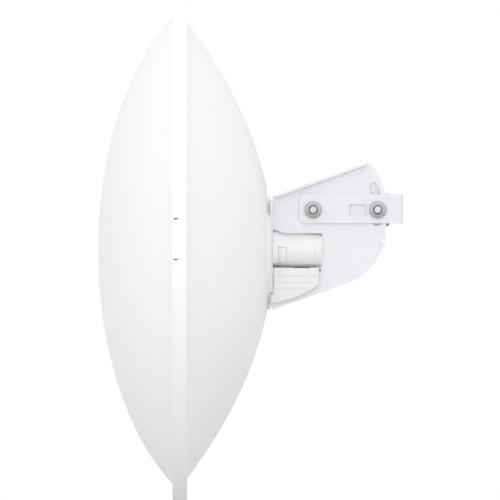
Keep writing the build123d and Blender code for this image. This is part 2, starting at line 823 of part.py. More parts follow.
def top_edge_z(x):
    return plate_top_z + (x - base_rear_x) * rise


def bottom_edge_z(x):
    return plate_bottom_z + (x - base_rear_x) * rise


def plate_outline():
    shoulder_z = sqrt(plate_arc_radius**2 - (plate_shoulder_x - pivot_x) ** 2)
    shoulder = (plate_shoulder_x, shoulder_z)
    rear_mid = (pivot_x + plate_arc_radius * cos(radians(12)), plate_arc_radius * sin(radians(12)))
    rear_low = (pivot_x + sqrt(plate_arc_radius**2 - plate_arc_low_z**2) + 0.85, plate_arc_low_z)
    heel = (plate_heel_x, plate_heel_z)
    sole = (plate_sole_x, bottom_edge_z(plate_sole_x))
    toe_x = base_rear_x - plate_toe
    toe_low_z = plate_bottom_z + plate_toe_rise
    toe_top_z = toe_low_z + plate_toe_height
    edges = [
        Line((base_rear_x, plate_top_z), (plate_peak_x, top_edge_z(plate_peak_x))),
        Line((plate_peak_x, top_edge_z(plate_peak_x)), shoulder),
        ThreePointArc(shoulder, rear_mid, rear_low),
        Line(rear_low, heel),
        ThreePointArc(heel, (plate_belly_x, plate_belly_z), sole),
        Line(sole, (base_rear_x, plate_bottom_z)),
        Line((base_rear_x, plate_bottom_z), (toe_x, toe_low_z)),
        Line((toe_x, toe_low_z), (toe_x, toe_top_z)),
        Line((toe_x, toe_top_z), (base_rear_x, toe_top_z)),
        Line((base_rear_x, toe_top_z), (base_rear_x, plate_top_z)),
    ]
    return make_face(edges)


def housing_notch():
    # Opening towards the dish for the housing, and below it for the port cover's bridges.
    top = housing_top_z + notch_gap
    rear = housing_end_x + notch_rear_gap
    front = base_rear_x - 20
    low = housing_bottom_z - notch_bottom
    collar_end = base_rear_x + collar_length + notch_gap
    upper = make_face(Polyline(
        (front, top + collar_flare), (base_rear_x, top + collar_flare), (collar_end, top),
        (rear, top), (rear, low), (front, low), close=True))
    upper = fillet(upper.vertices().group_by(Axis.X)[-1], 2.5)
    lower_rear = cover_rear_x - notch_cover_inset
    rear_low = bottom_edge_z(lower_rear) + notch_ledge
    front_low = bottom_edge_z(base_rear_x) + notch_ledge
    lower = make_face(Polyline(
        (front, low + 1), (lower_rear, low + 1), (lower_rear, rear_low), (base_rear_x, front_low),
        (front, front_low), close=True))
    return upper + lower


def arc_slot(half_width, overrun):
    # Curved slot about the pivot, longer than the tilt by the overrun at each end.
    start = -tilt_down - overrun
    arc = CenterArc((0, 0), slot_radius, start, tilt_up + tilt_down + 2 * overrun)
    return Pos(pivot_x, 0) * SlotArc(arc, 2 * half_width)


def edge_flange(x_end, edge_z, y0, y1, z0, z1):
    # Flange along a straight sloping edge of the side plate, from the base plate to x_end.
    start = base_rear_x + sheet / 2
    length = (x_end - start) / cos(radians(plate_slope))
    bar = block(0, length, y0, y1, z0, z1)
    return Pos(start, 0, edge_z(start)) * Rot(0, -plate_slope, 0) * bar, length


def catch_hole():
    centre = Pos(catch_hole_x - catch_hole_length / 2, housing_bottom_z - catch_hole_height / 2)
    return centre * Rectangle(catch_hole_length, catch_hole_height)


def side_plate(cut_out=None):
    outline = plate_outline() - housing_notch() - arc_slot(slot_half_width, slot_overrun)
    if cut_out is not None:
        outline -= cut_out
    outline -= Pos(pivot_x, 0) * Circle(m10_radius + running)
    outline -= Pos(plate_heel_x, sight_notch_z) * Rectangle(2 * sight_notch_depth, sight_notch_height)
    plate = side_sheet(outline, plate_inner_y, sheet)
    dimple = Pos(plate_heel_x - 5.0, sight_notch_z - 7.9) * RectangleRounded(7.0, 7.0, 1.5)
    plate -= side_sheet(dimple, plate_outer_y - sheet / 2, sheet)
    # Top flange bends outwards, bottom flange bends inwards.
    flange, length = edge_flange(plate_peak_x - flange_end_gap, top_edge_z, -plate_outer_y - top_lip,
                                 -plate_inner_y, -sheet, 0)
    long_edges = flange.edges().filter_by(lambda e: e.length > length - 1)
    bend = long_edges.sort_by(Axis.Y)[-2:].sort_by(Axis.Z)[-1:]
    plate += fillet(bend, 0.8 * sheet)
    flange, length = edge_flange(plate_sole_x - bottom_lip_gap, bottom_edge_z, -plate_outer_y,
                                 -plate_inner_y + bottom_lip, 0, sheet)
    long_edges = flange.edges().filter_by(lambda e: e.length > length - 1)
    bend = long_edges.sort_by(Axis.Y)[:2].sort_by(Axis.Z)[:1]
    plate += fillet(bend, 0.8 * sheet)
    return plate


def pole_strap():
    low = arm_centre_z - arm_height / 2
    high = arm_centre_z + arm_height / 2
    outer = block(arm_front_x, strap_rear_x, -arm_outer_y, arm_outer_y, low, high)
    bends = outer.edges().filter_by(Axis.Z).group_by(Axis.X)[-1]
    outer = fillet(bends, 6.0)
    inner = block(arm_front_x - 1, strap_rear_x - sheet, -arm_inner_y, arm_inner_y, low - 1, high + 1)
    inner = fillet(inner.edges().filter_by(Axis.Z).group_by(Axis.X)[-1], 3.0)
    strap = outer - inner
    ends = strap.edges().filter_by(Axis.Y).group_by(Axis.X)[0]
    strap = fillet(ends, arm_corner)
    for x in (pivot_x, lock_x):
        strap -= rod_y(m10_radius + hole_play, -2 * arm_outer_y, 2 * arm_outer_y, x, 0)
    window = RectangleRounded(strap_window_length, strap_window_height, 3.5)
    cut = extrude(window, arm_outer_y)
    for y in (-1.5 * arm_outer_y, 0.5 * arm_outer_y):
        strap -= Pos(strap_window_x, y, -0.5) * Rot(-90, 0, 0) * cut
    return strap


# ---- Pole clamp ----
def saddle_block(side):
    x0 = min(side * saddle_gap, side * (saddle_gap + saddle_thickness))
    x1 = max(side * saddle_gap, side * (saddle_gap + saddle_thickness))
    half = saddle_height / 2
    saddle = block(x0, x1, -saddle_half_width, saddle_half_width, -half, half)
    outer = saddle.edges().filter_by(Axis.Z).group_by(Axis.X)[0 if side < 0 else -1]
    saddle = fillet(outer, 8.0)
    return saddle - Cylinder(pole_radius, saddle_height + 2)


def clamp_places():
    return [(sy * clamp_bolt_y, sz * clamp_bolt_z) for sy in (-1, 1) for sz in (-1, 1)]


def clamp_saddle_fixed():
    saddle = saddle_block(-1)
    for y, z in clamp_places():
        saddle -= rod_x(m8_radius + hole_play, saddle_front_x - 1, 0, y, z)
        saddle -= rod_x(9.4, saddle_front_x - 10, saddle_front_x + 1.0, y, z)
    ear_out = plate_inner_y - free
    for sy in (-1, 1):
        y0 = min(sy * (ear_out - 4.5), sy * ear_out)
        y1 = max(sy * (ear_out - 4.5), sy * ear_out)
        ear = rod_y(9.5, y0, y1, pivot_x, 0) + block(pivot_x, saddle_front_x + 12, y0, y1, -7.5, 7.5)
        saddle += ear
    saddle -= rod_y(m10_radius + hole_play, -plate_outer_y, plate_outer_y, pivot_x, 0)
    return saddle


def clamp_saddle_moving():
    saddle = saddle_block(1)
    rear = saddle_gap + saddle_thickness
    for y, z in clamp_places():
        saddle -= rod_x(m8_radius + running, 0, rear + 1, y, z)
    relief_x = lock_x - m10_radius - jaw_travel - 0.6
    saddle -= block(relief_x, rear + 1, -plate_outer_y, plate_outer_y, -m10_radius - 1.5, m10_radius + 1.5)
    return saddle


def clamp_bolts():
    bolts = []
    for y, z in clamp_places():
        head = nut_x(m8_nut_flats, saddle_front_x - 4.3, saddle_front_x + 1.0, y, z)
        bolts.append(head + rod_x(m8_radius, saddle_front_x, clamp_bolt_end_x, y, z))
    return bolts


def clamp_washers():
    rear = saddle_gap + saddle_thickness
    washers = []
    for y, z in clamp_places():
        ring = rod_x(7.5, rear, rear + 1.6, y, z)
        washers.append(ring - rod_x(m8_radius + running, rear - 1, rear + 3, y, z))
    return washers


def clamp_nuts():
    rear = saddle_gap + saddle_thickness + 1.6
    nuts = []
    for y, z in clamp_places():
        nut = nut_x(m8_nut_flats, rear, rear + 6.5, y, z)
        nuts.append(nut - rod_x(m8_radius + running, rear - 1, rear + 8, y, z))
    return nuts


def long_bolt(x):
    # Head on the antenna's right, end on its left.
    head = rod_y(11.0, arm_outer_y, arm_outer_y + 2.0, x, 0)
    head += nut_y(m10_nut_flats, arm_outer_y + 1.5, arm_outer_y + 9.0, x, 0)
    end_y = -arm_outer_y - 13.0
    shank = rod_y(m10_radius, end_y, arm_outer_y + 2.0, x, 0)
    shank = chamfer(shank.edges().sort_by(Axis.Y)[0], 1.0)
    return head + shank


def flange_nut(x):
    nut = rod_y(m10_flange, -arm_outer_y - 2.4, -arm_outer_y, x, 0)
    nut += nut_y(m10_nut_flats, -arm_outer_y - m10_nut_height, -arm_outer_y - 1.5, x, 0)
    return nut - rod_y(m10_radius, -arm_outer_y - m10_nut_height - 1, -arm_outer_y + 1, x, 0)


def slot_washers():
    # Long curved washers inside the side plates, which cover the arc slots.
    flat = arc_slot(slot_half_width + slot_washer_margin, slot_overrun)
    flat -= Pos(lock_x, 0) * Circle(m10_radius + hole_play)
    return both_sides(side_sheet(flat, washer_inner_y, slot_washer_wall))


# ---- Write every piece ----
def main():
    os.makedirs("parts", exist_ok=True)
    save("radome", radome())
    save("radome_seal", radome_seal())
    save("rim_band", rim_band())
    for i, turn in enumerate(latch_turns()):
        save(f"radome_latch_{i + 1}", radome_latch(turn))
    save("latch_pins", latch_pins())
    save("reflector_dish", reflector_dish())
    save("backing_plate", backing_plate())
    save("dish_bolts", dish_bolts())
    save("dish_nuts", dish_nuts())
    save("feed_tube", feed_tube())
    save("feed_oring", feed_oring())
    save("waveguide", waveguide())
    save("sub_reflector", sub_reflector())
    save("feed_cap", feed_cap())
    save("rear_housing", rear_housing())
    save("housing_gasket", housing_gasket())
    save("housing_end_cap", end_cap())
    save("housing_screws", housing_screws())
    save("radio_board", radio_board())
    save("shield_cans", shield_cans())
    save("ethernet_jack", ethernet_jack())
    save("status_lens", status_lens())
    save("release_button_left", release_button())
    save("release_button_right", on_right(release_button()))
    save("release_spring_left", release_spring())
    save("release_spring_right", on_right(release_spring()))
    save("port_cover", port_cover())
    save("cable_grommet", cable_grommet())
    save("bracket_base_plate", base_plate())
    save("side_plate_left", side_plate(catch_hole()))
    save("side_plate_right", on_right(side_plate()))
    save("pole_strap", pole_strap())
    save("clamp_saddle_fixed", clamp_saddle_fixed())
    save("clamp_saddle_moving", clamp_saddle_moving())
    save("clamp_bolts", clamp_bolts())
    save("clamp_washers", clamp_washers())
    save("clamp_nuts", clamp_nuts())
    save("pivot_bolt", long_bolt(pivot_x))
    save("pivot_nut", flange_nut(pivot_x))
    save("lock_bolt", long_bolt(lock_x))
    save("lock_nut", flange_nut(lock_x))
    save("slot_washers", slot_washers())


main()
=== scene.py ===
import bmesh
import bpy
import json
import math
from functools import partial
from mathutils import Matrix, Vector


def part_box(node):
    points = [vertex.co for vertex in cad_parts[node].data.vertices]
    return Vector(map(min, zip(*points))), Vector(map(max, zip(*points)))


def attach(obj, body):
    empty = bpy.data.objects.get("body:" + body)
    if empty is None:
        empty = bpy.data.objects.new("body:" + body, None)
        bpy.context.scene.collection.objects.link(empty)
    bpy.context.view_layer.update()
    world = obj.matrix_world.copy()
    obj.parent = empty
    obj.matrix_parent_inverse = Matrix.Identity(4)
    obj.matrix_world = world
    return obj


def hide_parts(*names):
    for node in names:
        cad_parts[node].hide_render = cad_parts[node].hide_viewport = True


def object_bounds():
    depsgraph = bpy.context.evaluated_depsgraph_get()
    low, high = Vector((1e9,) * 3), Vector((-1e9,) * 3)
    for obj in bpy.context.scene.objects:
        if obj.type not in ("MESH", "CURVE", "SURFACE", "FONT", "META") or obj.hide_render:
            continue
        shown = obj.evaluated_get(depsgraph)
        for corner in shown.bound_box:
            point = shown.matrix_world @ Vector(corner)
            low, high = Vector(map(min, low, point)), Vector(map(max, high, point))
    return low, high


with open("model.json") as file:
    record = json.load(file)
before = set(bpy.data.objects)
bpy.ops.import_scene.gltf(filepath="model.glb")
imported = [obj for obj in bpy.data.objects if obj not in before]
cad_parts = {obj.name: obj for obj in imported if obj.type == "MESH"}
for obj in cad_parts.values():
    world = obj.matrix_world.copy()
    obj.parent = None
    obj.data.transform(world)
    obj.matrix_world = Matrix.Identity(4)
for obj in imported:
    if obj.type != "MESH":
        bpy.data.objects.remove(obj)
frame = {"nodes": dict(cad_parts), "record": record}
cadLow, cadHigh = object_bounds()
nodes = frame["nodes"]
mm = 0.001
mergeDistance = 2e-6
sharpAngle = math.radians(32)
flatAngle = math.radians(0.5)
upright = math.radians(90)
unmoved = Matrix.Identity(4)

# Places read from the frame
rimLow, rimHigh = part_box("rim_band")
dishLow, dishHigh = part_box("reflector_dish")
radomeLow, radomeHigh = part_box("radome")
axisZ = (rimLow.z + rimHigh.z) / 2
dishRadius = (dishHigh.z - dishLow.z) / 2


def centreOf(name):
    low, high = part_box(name)
    return (low + high) / 2


# What the shader groups and finishes share
shading = dict(bevelSamples=4, edgeGain=6.0, flakeShare=0.4, dustTone=(0.62, 0.60, 0.56), coatRough=0.25,
               metalBroad=60.0, metalPore=0.2, metalBumpSize=0.00008)


def newGroup(name, inputs, outputs):
    group = bpy.data.node_groups.new(name, "ShaderNodeTree")
    for label, kind, value in inputs:
        socket = group.interface.new_socket(name=label, in_out="INPUT", socket_type=kind)
        if value is not None:
            socket.default_value = value
    for label, kind in outputs:
        group.interface.new_socket(name=label, in_out="OUTPUT", socket_type=kind)
    return group, group.nodes.new("NodeGroupInput"), group.nodes.new("NodeGroupOutput")


def addMath(tree, operation, first, second=None, clamp=False):
    node = tree.nodes.new("ShaderNodeMath")
    node.operation = operation
    node.use_clamp = clamp
    for i, value in enumerate((first, second)):
        if value is None:
            continue
        if isinstance(value, (int, float)):
            node.inputs[i].default_value = value
        else:
            tree.links.new(value, node.inputs[i])
    return node.outputs[0]


def addNoise(tree, vector, scale, detail=3.0, rough=0.5):
    node = tree.nodes.new("ShaderNodeTexNoise")
    tree.links.new(vector, node.inputs["Vector"])
    if isinstance(scale, (int, float)):
        node.inputs["Scale"].default_value = scale
    else:
        tree.links.new(scale, node.inputs["Scale"])
    node.inputs["Detail"].default_value = detail
    node.inputs["Roughness"].default_value = rough
    return node.outputs["Fac"]


def makeGrainGroup():
    # Two sizes of grain: a fine one for bump, a broad one for tone and gloss
    group, entry, leave = newGroup(
        "surfaceGrain",
        [("Vector", "NodeSocketVector", None), ("Fine Scale", "NodeSocketFloat", 600.0),
         ("Broad Scale", "NodeSocketFloat", 9.0), ("Pore", "NodeSocketFloat", 0.0)],
        [("Height", "NodeSocketFloat"), ("Variation", "NodeSocketFloat")])
    fine = addNoise(group, entry.outputs["Vector"], entry.outputs["Fine Scale"], detail=2.0, rough=0.55)
    broad = addNoise(group, entry.outputs["Vector"], entry.outputs["Broad Scale"], detail=4.0, rough=0.6)
    cell = group.nodes.new("ShaderNodeTexVoronoi")
    group.links.new(entry.outputs["Vector"], cell.inputs["Vector"])
    group.links.new(entry.outputs["Fine Scale"], cell.inputs["Scale"])
    pores = addMath(group, "MULTIPLY", cell.outputs["Distance"], entry.outputs["Pore"])
    height = addMath(group, "ADD", fine, pores)
    group.links.new(height, leave.inputs["Height"])
    group.links.new(broad, leave.inputs["Variation"])
    return group


def makeEdgeGroup():
    # Mask that follows convex and concave edges, broken up so that it isn't a clean line. On convex edges it
    # marks wear; in concave creases the darker edge tone of the coated finishes is painted shade.
    group, entry, leave = newGroup(
        "edgeWear",
        [("Vector", "NodeSocketVector", None), ("Width", "NodeSocketFloat", 0.001),
         ("Amount", "NodeSocketFloat", 1.0), ("Breakup Scale", "NodeSocketFloat", 120.0)],
        [("Mask", "NodeSocketFloat")])
    bevel = group.nodes.new("ShaderNodeBevel")
    bevel.samples = shading["bevelSamples"]
    group.links.new(entry.outputs["Width"], bevel.inputs["Radius"])
    geometry = group.nodes.new("ShaderNodeNewGeometry")
    dot = group.nodes.new("ShaderNodeVectorMath")
    dot.operation = "DOT_PRODUCT"
    group.links.new(bevel.outputs[0], dot.inputs[0])
    group.links.new(geometry.outputs["Normal"], dot.inputs[1])
    away = addMath(group, "SUBTRACT", 1.0, dot.outputs["Value"])
    wide = addMath(group, "MULTIPLY", away, shading["edgeGain"], clamp=True)
    rough = addNoise(group, entry.outputs["Vector"], entry.outputs["Breakup Scale"], detail=4.0, rough=0.6)
    broken = addMath(group, "MULTIPLY", wide, rough)
    scaled = addMath(group, "MULTIPLY", broken, entry.outputs["Amount"], clamp=True)
    group.links.new(scaled, leave.inputs["Mask"])
    return group


def makeDustGroup():
    # Thin dust that lies on faces that look up
    group, entry, leave = newGroup(
        "settledDust",
        [("Vector", "NodeSocketVector", None), ("Amount", "NodeSocketFloat", 0.1),
         ("Scale", "NodeSocketFloat", 40.0)],
        [("Mask", "NodeSocketFloat")])
    geometry = group.nodes.new("ShaderNodeNewGeometry")
    split = group.nodes.new("ShaderNodeSeparateXYZ")
    group.links.new(geometry.outputs["Normal"], split.inputs[0])
    up = addMath(group, "MAXIMUM", split.outputs["Z"], 0.0)
    cloud = addNoise(group, entry.outputs["Vector"], entry.outputs["Scale"], detail=5.0, rough=0.65)
    patch = addMath(group, "MULTIPLY", up, cloud)
    mask = addMath(group, "MULTIPLY", patch, entry.outputs["Amount"], clamp=True)
    group.links.new(mask, leave.inputs["Mask"])
    return group


def makeFlakeGroup():
    # Crystal flakes of a zinc coat and fine turning lines
    group, entry, leave = newGroup(
        "zincFlakes",
        [("Vector", "NodeSocketVector", None), ("Scale", "NodeSocketFloat", 900.0),
         ("Line Scale", "NodeSocketFloat", 1500.0)],
        [("Tone", "NodeSocketFloat"), ("Height", "NodeSocketFloat")])
    cell = group.nodes.new("ShaderNodeTexVoronoi")
    group.links.new(entry.outputs["Vector"], cell.inputs["Vector"])
    group.links.new(entry.outputs["Scale"], cell.inputs["Scale"])
    split = group.nodes.new("ShaderNodeSeparateColor")
    group.links.new(cell.outputs["Color"], split.inputs[0])
    group.links.new(split.outputs[0], leave.inputs["Tone"])
    lines = addNoise(group, entry.outputs["Vector"], entry.outputs["Line Scale"], detail=2.0, rough=0.5)
    facets = addMath(group, "MULTIPLY", split.outputs[0], shading["flakeShare"])
    height = addMath(group, "ADD", facets, lines)
    group.links.new(height, leave.inputs["Height"])
    return group


grainGroup = makeGrainGroup()
edgeGroup = makeEdgeGroup()
dustGroup = makeDustGroup()
flakeGroup = makeFlakeGroup()


def placeGroup(material, group, values, vector):
    node = material.node_tree.nodes.new("ShaderNodeGroup")
    node.node_tree = group
    for label, value in values.items():
        node.inputs[label].default_value = value
    material.node_tree.links.new(vector, node.inputs["Vector"])
    return node


def mixColour(tree, mask, first, second):
    node = tree.nodes.new("ShaderNodeMix")
    node.data_type = "RGBA"
    for socket, value in ((node.inputs[6], first), (node.inputs[7], second)):
        if isinstance(value, (tuple, list)):
            socket.default_value = (*value, 1.0)
        else:
            tree.links.new(value, socket)
    tree.links.new(mask, node.inputs[0])
    return node.outputs[2]


def spread(tree, value, low, high, fromLow=0.3, fromHigh=0.7):
    node = tree.nodes.new("ShaderNodeMapRange")
    tree.links.new(value, node.inputs["Value"])
    node.inputs["From Min"].default_value = fromLow
    node.inputs["From Max"].default_value = fromHigh
    node.inputs["To Min"].default_value = low
    node.inputs["To Max"].default_value = high
    return node.outputs["Result"]


# What a user would change on each finish
finishes = {
    "radomePlastic": dict(
        tone=(0.947, 0.947, 0.955), shade=(0.937, 0.937, 0.946), rough=0.50, roughSpread=0.05,
        fine=900.0, broad=7.0, pore=0.15, bump=0.05, bumpSize=0.00006,
        edge=0.10, edgeTone=(0.86, 0.86, 0.86), edgeWidth=0.0012, dust=0.03, coat=0.0),
    "bandPlastic": dict(
        tone=(0.93, 0.93, 0.93), shade=(0.915, 0.915, 0.918), rough=0.38, roughSpread=0.06,
        fine=1100.0, broad=10.0, pore=0.1, bump=0.05, bumpSize=0.00005,
        edge=0.12, edgeTone=(0.84, 0.84, 0.84), edgeWidth=0.001, dust=0.02, coat=0.1),
    "dishPaint": dict(
        tone=(0.918, 0.918, 0.922), shade=(0.905, 0.905, 0.91), rough=0.46, roughSpread=0.06,
        fine=650.0, broad=6.0, pore=0.5, bump=0.08, bumpSize=0.00007,
        edge=0.16, edgeTone=(0.76, 0.76, 0.76), edgeWidth=0.0012, dust=0.04, coat=0.0),
    "platePaint": dict(
        tone=(0.87, 0.87, 0.875), shade=(0.85, 0.85, 0.855), rough=0.46, roughSpread=0.06,
        fine=640.0, broad=12.0, pore=0.6, bump=0.12, bumpSize=0.0001,
        edge=0.2, edgeTone=(0.66, 0.66, 0.67), edgeWidth=0.0010, dust=0.04, coat=0.0),
    "bracketPaint": dict(
        tone=(0.805, 0.812, 0.835), shade=(0.785, 0.793, 0.818), rough=0.44, roughSpread=0.08,
        fine=620.0, broad=14.0, pore=0.7, bump=0.14, bumpSize=0.00010,
        edge=0.22, edgeTone=(0.62, 0.63, 0.65), edgeWidth=0.0009, dust=0.04, coat=0.0),
    "housingPlastic": dict(
        tone=(0.86, 0.86, 0.86), shade=(0.845, 0.845, 0.846), rough=0.45, roughSpread=0.05,
        fine=1400.0, broad=20.0, pore=0.3, bump=0.10, bumpSize=0.00005,
        edge=0.12, edgeTone=(0.78, 0.78, 0.78), edgeWidth=0.0008, dust=0.03, coat=0.0),
    "coverPlastic": dict(
        tone=(0.825, 0.825, 0.828), shade=(0.81, 0.81, 0.814), rough=0.47, roughSpread=0.05,
        fine=1400.0, broad=20.0, pore=0.3, bump=0.10, bumpSize=0.00005,
        edge=0.12, edgeTone=(0.74, 0.74, 0.74), edgeWidth=0.0008, dust=0.03, coat=0.0),
    "feedPlastic": dict(
        tone=(0.80, 0.80, 0.80), shade=(0.77, 0.77, 0.77), rough=0.5, roughSpread=0.05,
        fine=1200.0, broad=18.0, pore=0.2, bump=0.08, bumpSize=0.00005,
        edge=0.10, edgeTone=(0.7, 0.7, 0.7), edgeWidth=0.0008, dust=0.0, coat=0.0),
    "castAlloy": dict(
        tone=(0.60, 0.61, 0.62), shade=(0.50, 0.51, 0.52), rough=0.52, roughSpread=0.12,
        fine=500.0, broad=40.0, pore=1.2, bump=0.35, bumpSize=0.00018,
        edge=0.6, edgeTone=(0.78, 0.78, 0.79), edgeWidth=0.0010, dust=0.10, coat=0.0, metal=0.9),
    "sealRubber": dict(
        tone=(0.030, 0.030, 0.031), shade=(0.045, 0.045, 0.046), rough=0.68, roughSpread=0.1,
        fine=900.0, broad=30.0, pore=0.6, bump=0.25, bumpSize=0.0001,
        edge=0.3, edgeTone=(0.08, 0.08, 0.08), edgeWidth=0.0008, dust=0.25, coat=0.0),
    "paleSilicone": dict(
        tone=(0.80, 0.80, 0.80), shade=(0.78, 0.78, 0.78), rough=0.6, roughSpread=0.05,
        fine=900.0, broad=30.0, pore=0.2, bump=0.1, bumpSize=0.00005,
        edge=0.05, edgeTone=(0.7, 0.7, 0.7), edgeWidth=0.0004, dust=0.0, coat=0.0),
    "boardMask": dict(
        tone=(0.02, 0.16, 0.07), shade=(0.015, 0.11, 0.05), rough=0.32, roughSpread=0.08,
        fine=1500.0, broad=120.0, pore=0.4, bump=0.2, bumpSize=0.00005,
        edge=0.4, edgeTone=(0.45, 0.40, 0.22), edgeWidth=0.0005, dust=0.0, coat=0.3),
    "clearPlastic": dict(
        tone=(0.75, 0.78, 0.80), shade=(0.72, 0.75, 0.78), rough=0.12, roughSpread=0.04,
        fine=800.0, broad=60.0, pore=0.1, bump=0.03, bumpSize=0.00005,
        edge=0.1, edgeTone=(0.9, 0.9, 0.9), edgeWidth=0.0005, dust=0.0, coat=0.5),
}

metals = {
    "zincSteel": dict(
        tone=(0.54, 0.54, 0.55), shade=(0.47, 0.47, 0.48), rough=0.38, roughSpread=0.10,
        flake=420.0, line=1800.0, bump=0.08, edge=0.4, edgeTone=(0.72, 0.72, 0.72), edgeWidth=0.0006),
    "stainlessSteel": dict(
        tone=(0.62, 0.62, 0.63), shade=(0.54, 0.54, 0.55), rough=0.26, roughSpread=0.08,
        flake=1500.0, line=2600.0, bump=0.06, edge=0.4, edgeTone=(0.8, 0.8, 0.8), edgeWidth=0.0004),
    "machinedAlloy": dict(
        tone=(0.78, 0.78, 0.79), shade=(0.70, 0.70, 0.71), rough=0.30, roughSpread=0.08,
        flake=1100.0, line=3000.0, bump=0.05, edge=0.4, edgeTone=(0.9, 0.9, 0.9), edgeWidth=0.0005),
    "tinnedSteel": dict(
        tone=(0.70, 0.70, 0.68), shade=(0.60, 0.60, 0.58), rough=0.36, roughSpread=0.10,
        flake=800.0, line=1200.0, bump=0.08, edge=0.4, edgeTone=(0.85, 0.85, 0.83), edgeWidth=0.0004),
}


def newMaterial(name):
    material = bpy.data.materials.new(name)
    material.use_nodes = True
    tree = material.node_tree
    tree.nodes.clear()
    shader = tree.nodes.new("ShaderNodeBsdfPrincipled")
    out = tree.nodes.new("ShaderNodeOutputMaterial")
    tree.links.new(shader.outputs[0], out.inputs[0])
    where = tree.nodes.new("ShaderNodeTexCoord").outputs["Object"]
    return material, tree, shader, where


def addBump(tree, shader, height, strength, distance):
    bump = tree.nodes.new("ShaderNodeBump")
    bump.inputs["Strength"].default_value = strength
    bump.inputs["Distance"].default_value = distance
    tree.links.new(height, bump.inputs["Height"])
    tree.links.new(bump.outputs[0], shader.inputs["Normal"])


def coatedFinish(name, s):
    material, tree, shader, where = newMaterial(name)
    grain = placeGroup(material, grainGroup,
                       {"Fine Scale": s["fine"], "Broad Scale": s["broad"], "Pore": s["pore"]}, where)
    edge = placeGroup(material, edgeGroup, {"Width": s["edgeWidth"], "Amount": s["edge"]}, where)
    colour = mixColour(tree, spread(tree, grain.outputs["Variation"], 0.0, 1.0), s["tone"], s["shade"])
    # Edge tone: wear on convex edges, painted shade where it darkens concave creases
    colour = mixColour(tree, edge.outputs["Mask"], colour, s["edgeTone"])
    if s["dust"]:
        dust = placeGroup(material, dustGroup, {"Amount": s["dust"]}, where)
        colour = mixColour(tree, dust.outputs["Mask"], colour, shading["dustTone"])
    tree.links.new(colour, shader.inputs["Base Color"])
    low, high = s["rough"] - s["roughSpread"], s["rough"] + s["roughSpread"]
    tree.links.new(spread(tree, grain.outputs["Variation"], low, high), shader.inputs["Roughness"])
    shader.inputs["Metallic"].default_value = s.get("metal", 0.0)
    shader.inputs["Coat Weight"].default_value = s["coat"]
    shader.inputs["Coat Roughness"].default_value = shading["coatRough"]
    addBump(tree, shader, grain.outputs["Height"], s["bump"], s["bumpSize"])
    return material


def metalFinish(name, s):
    material, tree, shader, where = newMaterial(name)
    flakes = placeGroup(material, flakeGroup, {"Scale": s["flake"], "Line Scale": s["line"]}, where)
    grain = placeGroup(material, grainGroup,
                       {"Fine Scale": s["line"], "Broad Scale": shading["metalBroad"],
                        "Pore": shading["metalPore"]}, where)
    edge = placeGroup(material, edgeGroup, {"Width": s["edgeWidth"], "Amount": s["edge"]}, where)
    tone = spread(tree, flakes.outputs["Tone"], 0.0, 1.0, 0.0, 1.0)
    colour = mixColour(tree, tone, s["tone"], s["shade"])
    colour = mixColour(tree, edge.outputs["Mask"], colour, s["edgeTone"])
    tree.links.new(colour, shader.inputs["Base Color"])
    low, high = s["rough"] - s["roughSpread"], s["rough"] + s["roughSpread"]
    tree.links.new(spread(tree, grain.outputs["Variation"], low, high), shader.inputs["Roughness"])
    shader.inputs["Metallic"].default_value = 1.0
    addBump(tree, shader, flakes.outputs["Height"], s["bump"], shading["metalBumpSize"])
    return material


materials = {name: coatedFinish(name, s) for name, s in finishes.items()}
materials.update({name: metalFinish(name, s) for name, s in metals.items()})
print("materials made:", len(materials))

slotFinish = {
    "radome_plastic": "radomePlastic", "band_plastic": "bandPlastic", "rubber_seal": "sealRubber",
    "dish_paint": "dishPaint", "plate_paint": "platePaint", "bracket_paint": "bracketPaint",
    "zinc_steel": "zincSteel", "cast_alloy": "castAlloy", "housing_plastic": "housingPlastic",
    "feed_plastic": "feedPlastic", "waveguide_alloy": "machinedAlloy", "spring_steel": "stainlessSteel",
    "board": "boardMask", "shield_steel": "tinnedSteel", "clear_plastic": "clearPlastic",
}
nodeSlot = {part["node"]: part["material_slot"] for part in frame["record"]["subparts"]}
bodies = frame["record"]["behaviour"]["bodies"]
nodeBody = {node: body for body, members in bodies.items() for node in members}
nodeFinish = {"port_cover": "coverPlastic", "slot_washers": "bracketPaint", "housing_gasket": "paleSilicone"}


def finishOf(node):
    return materials[nodeFinish.get(node, slotFinish[nodeSlot[node]])]


def giveMaterial(obj, material):
    obj.data.materials.clear()
    obj.data.materials.append(material)


def newPiece(name, mesh):
    piece = bpy.data.objects.new(name, mesh)
    bpy.context.scene.collection.objects.link(piece)
    return piece


def toMesh(name, shape):
    mesh = bpy.data.meshes.new(name)
    shape.to_mesh(mesh)
    shape.free()
    return mesh


def fromBmesh(name, shape):
    return newPiece(name, toMesh(name, shape))


def standFor(piece, node, *others):
    giveMaterial(piece, finishOf(node))
    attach(piece, nodeBody[node])
    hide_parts(node, *others)


def smoothByAngle(shape):
    for face in shape.faces:
        face.smooth = True
    for edge in shape.edges:
        edge.smooth = len(edge.link_faces) == 2 and edge.calc_face_angle(0.0) < sharpAngle


def cleanShape(shape):
    bmesh.ops.remove_doubles(shape, verts=shape.verts, dist=mergeDistance)
    loose = [edge for edge in shape.edges if not edge.link_faces]
    bmesh.ops.delete(shape, geom=loose, context="EDGES")
    bmesh.ops.recalc_face_normals(shape, faces=shape.faces)
    smoothByAngle(shape)


def newTree(name, inputs):
    tree = bpy.data.node_groups.new(name, "GeometryNodeTree")
    tree.interface.new_socket(name="Geometry", in_out="INPUT", socket_type="NodeSocketGeometry")
    for label, kind, value in inputs:
        socket = tree.interface.new_socket(name=label, in_out="INPUT", socket_type=kind)
        if value is not None:
            socket.default_value = value
    tree.interface.new_socket(name="Material", in_out="INPUT", socket_type="NodeSocketMaterial")
    tree.interface.new_socket(name="Geometry", in_out="OUTPUT", socket_type="NodeSocketGeometry")
    return tree, tree.nodes.new("NodeGroupInput").outputs, tree.nodes.new("NodeGroupOutput")


